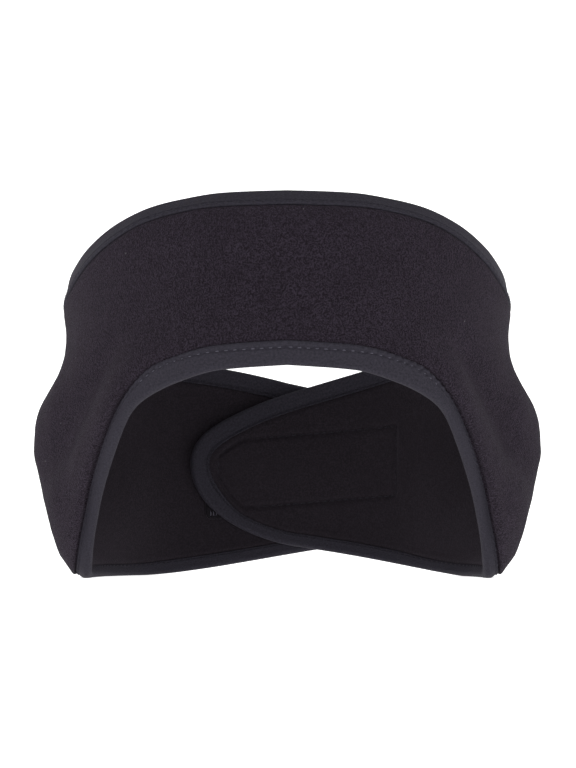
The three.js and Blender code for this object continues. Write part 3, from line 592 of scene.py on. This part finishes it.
def brushed_nap():
    """Brushed pile: tufts from two noises, a slow drift of shade, and rare pale specks of lint."""
    tree, given, result = new_group(
        "brushed_nap",
        [("Place", DIRECTION, None), ("Ground", COLOUR, (0.02, 0.02, 0.02, 1)),
         ("Tufts", COLOUR, (0.05, 0.05, 0.05, 1)), ("Tufts per metre", NUMBER, 1100),
         ("Tuft share", NUMBER, 0.5), ("Lint", NUMBER, 0.0)])
    place = given["Place"]
    coarse = noise(tree, place, given["Tufts per metre"], 1.5, 0.6, 2.1)
    fine = noise(tree, place, 2600, 2, 0.6)
    pile = made(tree, "ShaderNodeMix", {"Factor": 0.30, "A": coarse, "B": fine})["Result"]
    raised = moved_range(tree, pile, 0.40, 0.64, way="SMOOTHSTEP")
    drift = moved_range(tree, noise(tree, place, 55, 2, 0.5), 0.3, 0.7, 0.84, 1.14)
    amount = arithmetic(tree, "MULTIPLY", raised, drift)
    share = arithmetic(tree, "MULTIPLY", amount, given["Tuft share"], clamp=True)
    tufted = blend_colours(tree, share, given["Ground"], given["Tufts"])
    specks = made(tree, "ShaderNodeTexVoronoi", {"Vector": place, "Scale": 150, "Randomness": 1})
    speck = moved_range(tree, specks["Distance"], 0.030, 0.055, 1, 0)
    picked = made(tree, "ShaderNodeSeparateColor", {"Color": specks["Color"]})["Red"]
    lint = arithmetic(tree, "MULTIPLY", speck, arithmetic(tree, "GREATER_THAN", picked, 0.90))
    lint_share = arithmetic(tree, "MULTIPLY", lint, given["Lint"], clamp=True)
    feed(tree, result["Color"], blend_colours(tree, lint_share, tufted, (0.22, 0.21, 0.22, 1)))
    feed(tree, result["Height"], pile)
    return tree


def fine_knit():
    """Fine stretch knit on the cloth's own map: ribs along the tape and courses across it, sines of the map."""
    tree, given, result = new_group(
        "fine_knit",
        [("Map", DIRECTION, None), ("Ground", COLOUR, (0.03, 0.03, 0.04, 1)),
         ("Raised", COLOUR, (0.04, 0.04, 0.05, 1)), ("Loops per metre", NUMBER, 2400)])
    axes = made(tree, "ShaderNodeSeparateXYZ", {"Vector": given["Map"]})
    waves = []
    for axis, factor in (("X", 4.0), ("Y", 6.283)):
        turned = arithmetic(tree, "MULTIPLY", axes[axis], given["Loops per metre"])
        waves.append(arithmetic(tree, "SINE", arithmetic(tree, "MULTIPLY", turned, factor)))
    loops = arithmetic(tree, "MULTIPLY_ADD", arithmetic(tree, "MULTIPLY", *waves), 0.15, 0.05)
    height = arithmetic(tree, "MULTIPLY_ADD", noise(tree, given["Map"], 1200, 3, 0.65), 1.4, loops)
    share = moved_range(tree, height, 0.45, 1.1)
    feed(tree, result["Color"], blend_colours(tree, share, given["Ground"], given["Raised"]))
    feed(tree, result["Height"], height)
    return tree


def matt_material(name, values):
    """A new material and its Principled shader, with its inputs set."""
    material = bpy.data.materials.new(name)
    material.use_nodes = True
    shader = material.node_tree.nodes["Principled BSDF"]
    for socket, value in values.items():
        shader.inputs[socket].default_value = value
    return material, shader


def cloth_material(name, build, settings, bump, roughness, sheen, sheen_roughness, on_map=False):
    """A matt cloth: a group's colour and height on a Principled shader, with sheen for its pile. The group is
    built once and shared."""
    material, shader = matt_material(name, {
        "Roughness": roughness, "Specular IOR Level": 0.1, "Sheen Weight": sheen,
        "Sheen Roughness": sheen_roughness, "Sheen Tint": SHEEN_TINT})
    tree = material.node_tree
    place = made(tree, "ShaderNodeTexCoord", {})["UV" if on_map else "Object"]
    group = bpy.data.node_groups.get(build.__name__) or build()
    cloth = made(tree, "ShaderNodeGroup", {0: place, **settings}, node_tree=group)
    relief = made(tree, "ShaderNodeBump", {"Distance": bump * MM, "Height": cloth["Height"]})
    feed(tree, shader.inputs["Normal"], relief["Normal"])
    feed(tree, shader.inputs["Base Color"], cloth["Color"])
    return material


def solid_colour(value, strength=1.0):
    return (*[channel * strength for channel in value], 1.0)


class EARWARMER_OT_fleece(bpy.types.Operator):
    """Lays the napped fleece panel with its folds and puffed seams"""

    bl_idname = "earwarmer.fleece"
    bl_label = "Fleece panel"

    def execute(self, context):
        """Both faces are the sheet moved along its normal by half the cloth and its relief. Rings follow the
        outline under the tape, and rows join them across the middle."""
        cloth, colours = chosen(context)
        tip = END_ROUNDING * (1 - np.cos(np.linspace(0, math.pi / 2, 28)))
        fine = np.linspace(-OUTER_TIP + END_ROUNDING, INNER_TIP - END_ROUNDING, 4001)
        pitch = mix(FLEECE_PITCH, LAP_PITCH, ease(LAP_FROM, LAP_TO, np.abs(fine[1:])))
        length = running_total(np.hypot(np.diff(fine), 0.8 * np.diff(edge_heights(fine)[0])) / pitch)
        even = np.interp(np.linspace(0, length[-1], round(length[-1]) + 1)[1:-1], length, fine)
        along = np.concatenate([-OUTER_TIP + tip, even, (INNER_TIP - tip)[::-1]])
        low, top = edge_heights(along)
        columns = len(along)
        line = np.concatenate([along, along[-2:0:-1]]), np.concatenate([low, top[-2:0:-1]])
        spots = len(line[0])
        shows = tape_share(line[0], np.arange(spots) >= columns)
        insets, beside, over = (np.array(rings)[:, None] for rings in (
            RINGS_UNDER_TAPE, RINGS_BESIDE_TAPE, RINGS_OVER_TAPE))
        spread = mix(0.5, 1, ease(0, 45, to_tip(line[0])))
        reach, curled = (np.concatenate([insets * shows, SEWN_OUTSIDE * shows + further * spread])
                         for further in (beside, mix(beside, over, covered(shows))))
        rings, outer_rings = (inside_edge(*line, each + FOLD_REACH) for each in (reach, curled))
        # The columns of the middle run from the lower edge's last ring to the top edge's, without the tips.
        lower, upper = slice(1, columns - 1), slice(None, columns - 1, -1)
        share = np.linspace(0, 1, FLEECE_ROWS + 1)[1:-1, None]
        first, last = rings[:, -1, lower], rings[:, -1, upper]
        middle = [mix(first[k], last[k], share) for k in (0, 1)]
        lie = sheet_point(*middle)
        away = beside[-1] * spread[lower] + np.minimum(
            *(np.linalg.norm(lie - sheet_point(*side), axis=-1) for side in (first, last)))
        places = [np.concatenate([rings[k].ravel(), middle[k].T.ravel()]) for k in (0, 1)]
        away = np.concatenate([(reach - SEWN_OUTSIDE * shows).ravel(), away.T.ravel()])
        all_shows = np.concatenate([np.tile(shows, len(reach)),
                                    mix(shows[lower], shows[upper], share).T.ravel()])
        count = len(away)
        inset = np.full(count, SEWN_OUTSIDE)
        inset[:len(insets) * spots] = np.repeat(insets, spots)

        ring = np.arange(len(reach) * spots).reshape(len(reach), spots)
        inner = ring.size + np.arange((columns - 2) * (FLEECE_ROWS - 1)).reshape(columns - 2, FLEECE_ROWS - 1)
        table = np.concatenate([ring[-1, lower, None], inner, ring[-1, upper, None]], axis=1)
        after = np.roll(ring, -1, axis=1)
        quads = np.concatenate([
            side_by_side(ring[:-1], after[:-1], after[1:], ring[1:]).reshape(-1, 4),
            side_by_side(table[:-1, :-1], table[1:, :-1], table[1:, 1:], table[:-1, 1:]).reshape(-1, 4)])
        outer_tip, inner_tip = (np.full(FLEECE_ROWS, ring[-1, spot]) for spot in (0, columns - 1))
        fans = np.concatenate([side_by_side(outer_tip, table[0, :-1], table[0, 1:]),
                               side_by_side(table[-1, :-1], inner_tip, table[-1, 1:])])
        faces = []
        for face in (1, -1):
            lie = places
            if face > 0:
                lie = [np.concatenate([outer_rings[k].ravel(), places[k][ring.size:]]) for k in (0, 1)]
            middle, normal = cloth_at(*lie)
            past = away + (0 if face > 0 else SEWN_OUTSIDE - SEWN_INSIDE) * all_shows
            off = margin_half(inset) + cloth_relief(*places, past, all_shows, face, cloth)
            points = middle + normal * (face * off)[:, None]
            points[:, 2] = np.maximum(points[:, 2], TAPE_THICKNESS + SEAT_GAP)
            faces.append(points)
        edge = side_by_side(count + ring[0], count + after[0], after[0], ring[0])
        all_quads = np.concatenate([quads, edge, quads[:, ::-1] + count])
        all_fans = np.concatenate([fans, fans[:, ::-1] + count])
        finish = np.repeat([0, 1, 0, 1], [len(quads) + len(edge), len(quads), len(fans), len(fans)])
        flat = np.tile(side_by_side(*places), (2, 1))
        corners = np.concatenate([all_quads.ravel(), all_fans.ravel()])
        panel = make_piece("fleece_panel", np.concatenate(faces), [all_quads, all_fans], flat[corners], finish)
        panel.data.materials.append(cloth_material(
            "brushed_fleece", brushed_nap,
            {"Ground": solid_colour(colours.fleece), "Tufts": solid_colour(colours.pills),
             "Tufts per metre": 1650, "Tuft share": 0.56, "Lint": 0.5}, 2.0, 0.95, 0.045, 0.45))
        panel.data.materials.append(cloth_material(
            "smooth_fleece", brushed_nap,
            {"Ground": solid_colour(colours.lining), "Tufts": solid_colour(colours.lining, 3.0),
             "Tufts per metre": 1500, "Tuft share": 0.36, "Lint": 0.1}, 0.30, 0.95, 0.06, 0.5))
        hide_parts("fleece_band")
        return {"FINISHED"}


def tape_lift(from_edge, shows, seam, lip):
    """The tape's outer surface above the cloth, at a share of its distance from its sewn edge: a rounded edge,
    a raised lip and the groove that the seam pulls in. Where less of it shows, its edge dives under the
    fleece."""
    true = from_edge * shows
    edge = np.sqrt(1 - (1 - np.clip(true / 0.4, 0, 1)) ** 2)
    dive = covered(shows)
    raised = SEAT_GAP + TAPE_THICKNESS * (0.25 + 0.75 * edge)
    raised = raised + lip * (1 - dive) * bell(from_edge - LIP_PLACE, LIP_WIDTH)
    groove = GROOVE_DEPTH * (1 - 0.6 * dive) * bell(from_edge - seam, GROOVE_WIDTH)
    return raised - groove - 0.1 * dive * bell(true, 0.7)


class EARWARMER_OT_tape(bpy.types.Operator):
    """Folds the stretch tape round the whole outline and puckers it between the stitches"""

    bl_idname = "earwarmer.tape"
    bl_label = "Folded tape"

    def execute(self, context):
        """A U section carried along the fold's line. Its outer leg, fold, inner leg and lining are lists of
        insets and heights off the cloth, and the puckers are sines of the distance along the line."""
        cloth, colours = chosen(context)
        along, height, length, shows = finished_outline(cloth.stitch_pitch)
        spots = len(along)
        outside = np.array([0, 0.1, 0.35, 0.7, 1.1, 1.5, 1.9, 2.2, 2.5, 2.8, 3.2, 3.8, 4.6, 5.5, 6.5, 7.2])
        inside = np.array([5.6, 4.6, 3.6, 2.7, 2.1, 1.7, 1.4, 1.1, 0.8, 0.5, 0.25, 0.1, 0])
        outer_inset, inner_inset = SEWN_OUTSIDE - outside, SEWN_INSIDE - inside
        lining_in, lining_out = np.array([SEWN_INSIDE, 4.5, 2.2]), np.array([2.2, 4.5, SEWN_OUTSIDE])
        insets = np.unique(np.concatenate([[0], outer_inset, inner_inset, lining_in, lining_out]).round(6))
        middle, normal = cloth_at(*inside_edge(along, height, insets[:, None] * shows + FOLD_REACH))
        run = np.arange(spots + 1) * length / spots
        phase = np.arange(spots) / STEPS_PER_STITCH * 2 * math.pi
        on_top = np.arange(spots) > along.argmax()
        unevenness = (0.65 + 0.5 * lattice_noise(run[:-1], 0 * along, 23, 5)
                      + np.where(on_top, 0, 2.0 * arch_shoulder(along)))
        section = []

        def beside(inset, side, lift):
            k = int(np.argmin(np.abs(insets - inset)))
            return middle[k] + normal[k] * (side * (margin_half(inset) + lift))[..., None]

        def leg(sewn, insets_of_leg, side, seam, lip):
            for inset in insets_of_leg:
                from_edge = sewn - inset
                window = bell(from_edge - 0.55 * seam, 0.75 * seam)
                pucker = cloth.pucker * unevenness * np.sin(phase + 1.9 * (from_edge - seam)) * window
                hole = -HOLE_DEPTH * bell(from_edge - seam, HOLE_WIDTH) * (0.5 + 0.5 * np.cos(phase)) ** 3
                body = (WAVE_ON_TAPE * lattice_noise(run[:-1], 0 * along + from_edge, 9, 31)
                        * ease(1.0, 4.0, from_edge))
                lift = tape_lift(from_edge, shows, seam, lip) + pucker + hole + body
                section.append(beside(inset, side, lift))

        leg(SEWN_OUTSIDE, outer_inset, 1, seam_from_edge(along, on_top), LIP_HEIGHT)
        outward = unit(middle[0] - middle[2])
        half = MARGIN_THICKNESS / 2 + SEAT_GAP + TAPE_THICKNESS
        for angle in np.linspace(0, math.pi, 11):
            bulge = np.sign(np.cos(angle)) * abs(np.cos(angle)) ** 0.8
            section.append(middle[0] + outward * FOLD_REACH * math.sin(angle) + normal[0] * half * bulge)
        leg(SEWN_INSIDE, inner_inset, -1, SEAM_FROM_EDGE_INSIDE, 0.0)
        outer_skin = len(section)
        seated = np.full(spots, SEAT_GAP)
        section += [beside(inset, -1, seated) for inset in lining_in]
        section += [middle[0] + outward * SEAT_GAP + normal[0] * side * (MARGIN_THICKNESS / 2 + SEAT_GAP)
                    for side in (-1, 1)]
        section += [beside(inset, 1, seated) for inset in lining_out]
        points = np.stack(section, axis=1)
        points[:, :outer_skin, 2] = np.maximum(points[:, :outer_skin, 2], 0)
        points[:, outer_skin:, 2] = np.maximum(points[:, outer_skin:, 2], TAPE_THICKNESS)
        quads = grid_quads(spots, points.shape[1], True, True)[:, ::-1]
        across = np.append(running_total(np.linalg.norm(np.diff(points[0], axis=0), axis=1)), 0)
        across[-1] = across[-2] + np.linalg.norm(points[0, 0] - points[0, -1])
        u = side_by_side(run[:-1], run[1:], run[1:], run[:-1])[:, None]
        v = side_by_side(across[1:], across[1:], across[:-1], across[:-1])[None]
        corner_uv = side_by_side(*np.broadcast_arrays(u, v)).reshape(-1, 2)
        tape = make_piece("folded_tape", points.reshape(-1, 3), [quads], corner_uv)
        tape.data.materials.append(cloth_material(
            "stretch_tape", fine_knit,
            {"Ground": solid_colour(colours.tape, 0.55), "Raised": solid_colour(colours.tape, 1.4),
             "Loops per metre": 2400}, 0.14, 0.8, 0.03, 0.35, on_map=True))
        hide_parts("edge_binding")
        return {"FINISHED"}


def thread_run(name, centres, tangents, normals, half_length, width, colour):
    """One stitch at each centre: a thread's short capsule of six sides, arched along its way, whose radius is
    (1 - t^4)^(1/2) and whose ends dip into the cloth. Its plies show as a fine slanting ripple, with a slight
    sheen."""
    t = np.linspace(-1, 1, THREAD_RINGS)
    turn = np.arange(THREAD_SIDES) * 2 * math.pi / THREAD_SIDES
    radius = width / 2 * np.sqrt(np.maximum(0.03, 1 - t ** 4))
    twist = 1 + 0.12 * np.cos(2 * turn[None] + 4 * t[:, None])
    across = radius[:, None] * np.cos(turn)[None] * twist
    arch = (width * (0.55 * (1 - t ** 2) - 0.75 * t ** 6))[:, None]
    up = radius[:, None] * np.sin(turn)[None] * twist + arch
    forward = np.repeat((half_length * t)[:, None], THREAD_SIDES, axis=1)
    ways = ((forward, tangents), (across, np.cross(tangents, normals)), (up, normals))
    points = sum((each[None, ..., None] * way[:, None, None] for each, way in ways), centres[:, None, None])
    count, size = len(centres), THREAD_RINGS * THREAD_SIDES
    points = points.reshape(count, size, 3)
    points[..., 2] = np.maximum(points[..., 2], 0.02)
    ring = np.arange(THREAD_SIDES)
    ends = np.array([np.roll(ring[::-1], 1), size - THREAD_SIDES + ring])
    quads = grid_quads(THREAD_RINGS, THREAD_SIDES, closed_columns=True)
    first = (np.arange(count) * size)[:, None, None]
    run = make_piece(name, points.reshape(-1, 3), [(quads + first).reshape(-1, 4),
                                                   (ends[:, ::-1] + first).reshape(-1, THREAD_SIDES)])
    run.data.materials.append(cloth_material(
        f"{name}_thread", brushed_nap,
        {"Ground": solid_colour(colour, 0.8), "Tufts": solid_colour(colour, 1.3),
         "Tufts per metre": 3200, "Tuft share": 0.8, "Lint": 0.0}, 0.06, 0.55, 0.1, 0.3))


class EARWARMER_OT_seam(bpy.types.Operator):
    """Sews the tape down with one row of stitches that shows on both faces"""

    bl_idname = "earwarmer.seam"
    bl_label = "Tape seam"

    def execute(self, context):
        """The centres lie half way between the holes on the seam's line, at the tape's groove."""
        cloth, colours = chosen(context)
        along, height, length, shows = finished_outline(cloth.stitch_pitch)
        outside = seam_from_edge(along, np.arange(len(along)) > along.argmax())
        pitch = length / len(along) * STEPS_PER_STITCH
        between = np.arange(STEPS_PER_STITCH // 2, len(along), STEPS_PER_STITCH)
        on_top = between > along.argmax()
        bare = shows[between] > 0.75
        on_arch, on_rim = between[bare & ~on_top], between[bare & on_top]
        for name, face, sewn, seam, pick, half_length, colour in (
                # The arch's run takes the thread colour lightened with painted highlight.
                ("on_arch", 1, SEWN_OUTSIDE, outside, on_arch, 0.26, colours.thread),
                ("on_rim", 1, SEWN_OUTSIDE, outside, on_rim, 0.26, colours.tape),
                # The inside run takes the thread darkened with painted shade.
                ("inside", -1, SEWN_INSIDE, SEAM_FROM_EDGE_INSIDE, between, 0.4, colours.shaded_thread)):
            inset = sewn - seam + 0 * along
            middle, normal = cloth_at(*inside_edge(along, height, (inset * shows + FOLD_REACH)[None])[:, 0])
            lift = margin_half(inset) + tape_lift(seam, shows, seam, 0) - 0.02
            line = middle + normal * (face * lift)[:, None]
            thread_run(f"tape_seam_{name}", line[pick], way_along(line)[pick], face * normal[pick],
                       half_length * pitch, cloth.thread_width, colour)
        return {"FINISHED"}


class EARWARMER_OT_patches(bpy.types.Operator):
    """Makes the hook patch and the loop patch and sews each round its edge"""

    bl_idname = "earwarmer.patches"
    bl_label = "Hook-and-loop patches"

    def execute(self, context):
        """Each patch is two grids of the sheet at its two distances from the cloth, and its rounded corners are
        quarter circles in the rows' half height. The grip face carries a fine lumpy pile and is pressed in along
        its seam."""
        cloth, colours = chosen(context)
        for kind, patch in PATCHES.items():
            corner = PATCH_CORNER * (1 - np.cos(np.linspace(0, math.pi / 2, 8)))
            nose = np.array([0, 0.15, 0.4, 0.8, 1.4, 2.1, 3.0])
            straight = np.linspace(nose[-1], patch["length"] - PATCH_CORNER, 100)[1:-1]
            station = np.concatenate([nose, straight, (patch["length"] - corner)[::-1]])
            beyond = 1 - np.clip((patch["length"] - station) / PATCH_CORNER, 0, 1)
            half = patch["tall"] / 2 - PATCH_CORNER * (1 - np.sqrt(1 - beyond ** 2))
            rows = 53
            along = patch_places(patch, station)
            low, top = patch_sides(patch, along, half, 0)
            height = mix(low[:, None], top[:, None], np.linspace(0, 1, rows)[None])
            along = np.repeat(along[:, None], rows, axis=1)
            middle, normal = cloth_at(along, height)
            seat = FLEECE_THICKNESS / 2 + SEAT_GAP
            edge = np.clip(distance_to(patch_line(patch, 0, 0.25), along, height) / 0.8, 0, 1)
            sewn = bell(distance_to(patch_line(patch, PATCH_SEAM_INSET, 0.5), along, height), 0.6)
            pile = lattice_noise(along, height, 0.8, 41 if kind == "hook" else 43)
            grip = (PATCH_THICKNESS * (0.72 + 0.28 * np.sqrt(1 - (1 - edge) ** 2)) - 0.25 * sewn
                    - 0.07 * (1 + pile))
            sides = [(middle + normal * (patch["face"] * off)[..., None]).reshape(-1, 3)
                     for off in (seat + 0 * grip, seat + grip)]
            index = np.arange(grip.size).reshape(len(station), rows)
            quads = grid_quads(len(station), rows)
            rim = np.concatenate([index[:, 0], index[-1, 1:], index[-2::-1, -1], index[0, -2:0:-1]])
            wall = side_by_side(rim, np.roll(rim, -1), np.roll(rim, -1) + grip.size, rim + grip.size)
            faces = np.concatenate([quads[:, ::-1], quads + grip.size, wall])
            if patch["towards"] * patch["face"] < 0:
                faces = faces[:, ::-1]
            flat = np.tile(side_by_side(along, height).reshape(-1, 2), (2, 1))
            piece = make_piece(f"{kind}_fastener", np.concatenate(sides), [faces], flat[faces.ravel()])
            loops, roughness = (620, 0.6) if kind == "hook" else (900, 0.9)
            piece.data.materials.append(cloth_material(
                f"{kind}_pile", fine_knit,
                {"Ground": solid_colour(colours.fastener, 0.8), "Raised": solid_colour(colours.fastener, 1.8),
                 "Loops per metre": loops}, 0.4, roughness, 0.05, 0.4, on_map=True))
            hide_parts(f"{kind}_patch")
            self.sew(kind, patch, cloth, colours)
        return {"FINISHED"}

    def sew(self, kind, patch, cloth, colours):
        """Stitches round the patch, on its grip face and on the other face of the cloth behind it."""
        along, height = patch_line(patch, PATCH_SEAM_INSET, cloth.stitch_pitch)
        middle, normal = cloth_at(along, height)
        bare, full = FAR_OFF + 0 * along, 1 + 0 * along
        behind = FLEECE_THICKNESS / 2 + cloth_relief(along, height, bare, full, -patch["face"], cloth)
        grip = 0 * along + FLEECE_THICKNESS / 2 + SEAT_GAP + PATCH_THICKNESS - 0.42
        # The patches' stitches on both faces take the thread darkened with painted shade.
        for where, face, lift in (("cloth", -patch["face"], behind + 0.12), ("patch", patch["face"], grip)):
            line = middle + normal * (face * lift)[:, None]
            thread_run(f"{kind}_seam_on_{where}", line, way_along(line), face * normal,
                       0.46 * cloth.stitch_pitch, 1.1 * cloth.thread_width, colours.shaded_thread)
        if kind == "loop":
            self.tack(patch, cloth, colours)

    def tack(self, patch, cloth, colours):
        """Three upright threads at each far corner of the patch, which lock its seam."""
        back = patch["length"] - PATCH_SEAM_INSET - 1.25 * np.arange(3)
        along = np.tile(patch_places(patch, back), 2)
        low, top = patch_sides(patch, along, patch["tall"] / 2 - PATCH_SEAM_INSET, 0)
        height = np.concatenate([low[:3] + 0.8, top[3:] - 0.8])
        middle, normal = cloth_at(along, height)
        line = middle + normal * patch["face"] * (FLEECE_THICKNESS / 2 + SEAT_GAP + PATCH_THICKNESS - 0.15)
        up = unit(sheet_point(along, height + 0.5) - sheet_point(along, height - 0.5))
        # The tacks take the thread colour lightened with painted highlight.
        thread_run("loop_patch_tacks", line, up, patch["face"] * normal, 1.2, 1.2 * cloth.thread_width,
                   colours.thread)


class EARWARMER_OT_stage(bpy.types.Operator):
    """Sets the pale floor, the soft lights and the camera"""

    bl_idname = "earwarmer.stage"
    bl_label = "Stage"

    def execute(self, context):
        """The floor is a flat sheet that curves up behind as a quarter circle. The camera stands 1.5 m off and
        looks up by two degrees, from just above the floor."""
        turn = np.linspace(0, math.pi / 2, 20)[1:]
        depth = np.concatenate([np.linspace(FLOOR_FRONT, FLOOR_BACK, 30),
                                FLOOR_BACK + SWEEP_RADIUS * np.sin(turn), np.full(8, FLOOR_BACK + SWEEP_RADIUS)])
        rise = np.concatenate([np.zeros(30), SWEEP_RADIUS * (1 - np.cos(turn)),
                               np.linspace(SWEEP_RADIUS, WALL_TOP, 9)[1:]])
        across = np.linspace(-FLOOR_HALF_WIDTH, FLOOR_HALF_WIDTH, 25)[None]
        points = side_by_side(*np.broadcast_arrays(across, depth[:, None], rise[:, None])).reshape(-1, 3) / MM
        floor = make_piece("pale_floor", points, [grid_quads(len(depth), 25)[:, ::-1]])
        floor.data.materials.append(matt_material("pale_paper", {
            "Base Color": (0.93, 0.93, 0.93, 1), "Roughness": 0.9, "Specular IOR Level": 0.0,
            "Emission Color": (1, 1, 1, 1), "Emission Strength": 0.80})[0])
        floor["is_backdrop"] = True

        scene = context.scene
        scene.world = bpy.data.worlds.new("soft_room")
        scene.world.use_nodes = True
        background = scene.world.node_tree.nodes["Background"]
        background.inputs["Color"].default_value = (1, 1, 1, 1)
        background.inputs["Strength"].default_value = 0.10
        for name, place, aim, size, power in LAMPS:
            light = bpy.data.lights.new(name, "AREA")
            light.shape, light.size, light.energy = "SQUARE", size, power
            self.stand(name, light, place, aim)
        scene.view_settings.view_transform = "Standard"

        camera = bpy.data.cameras.new("camera")
        camera.sensor_width, camera.lens = SENSOR, FOCAL_PIXELS / FRAME_PIXELS * SENSOR
        tilt = math.radians(CAMERA_TILT)
        x, y, z = CAMERA_TARGET
        place = (x, y - CAMERA_DISTANCE * math.cos(tilt), z - CAMERA_DISTANCE * math.sin(tilt))
        scene.camera = self.stand("camera", camera, place, CAMERA_TARGET)
        return {"FINISHED"}

    def stand(self, name, data, place, aim):
        """A lamp or camera at a place, turned so that its -Z points at the aim, with Y up."""
        thing = bpy.data.objects.new(name, data)
        thing.location = place
        thing.rotation_euler = Vector([b - a for a, b in zip(place, aim)]).to_track_quat("-Z", "Y").to_euler()
        bpy.context.collection.objects.link(thing)
        return thing


class EARWARMER_PT_panel(bpy.types.Panel):
    """Lists the headband's sizes, colours and pieces"""

    bl_idname = "EARWARMER_PT_panel"
    bl_label = "Ear Warmer"
    bl_space_type = "VIEW_3D"
    bl_region_type = "UI"
    bl_category = "Ear Warmer"

    def draw(self, context):
        for group in (context.scene.ear_warmer_sizes, context.scene.ear_warmer_colours):
            box = self.layout.box()
            for name in group.__annotations__:
                box.prop(group, name)
        for operator in (EARWARMER_OT_fleece, EARWARMER_OT_tape, EARWARMER_OT_seam, EARWARMER_OT_patches,
                         EARWARMER_OT_stage):
            self.layout.operator(operator.bl_idname)


CLASSES = (EarWarmerSizes, EarWarmerColours, EARWARMER_OT_fleece, EARWARMER_OT_tape, EARWARMER_OT_seam,
           EARWARMER_OT_patches, EARWARMER_OT_stage, EARWARMER_PT_panel)


def register():
    for kind in CLASSES:
        bpy.utils.register_class(kind)
    bpy.types.Scene.ear_warmer_sizes = PointerProperty(type=EarWarmerSizes)
    bpy.types.Scene.ear_warmer_colours = PointerProperty(type=EarWarmerColours)


def unregister():
    del bpy.types.Scene.ear_warmer_colours
    del bpy.types.Scene.ear_warmer_sizes
    for kind in reversed(CLASSES):
        bpy.utils.unregister_class(kind)


def main():
    register()
    bpy.ops.earwarmer.stage()
    bpy.ops.earwarmer.fleece()
    bpy.ops.earwarmer.tape()
    bpy.ops.earwarmer.seam()
    bpy.ops.earwarmer.patches()
    box = [list(map(float, corner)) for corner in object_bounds()]


if __name__ == "__main__":
    main()
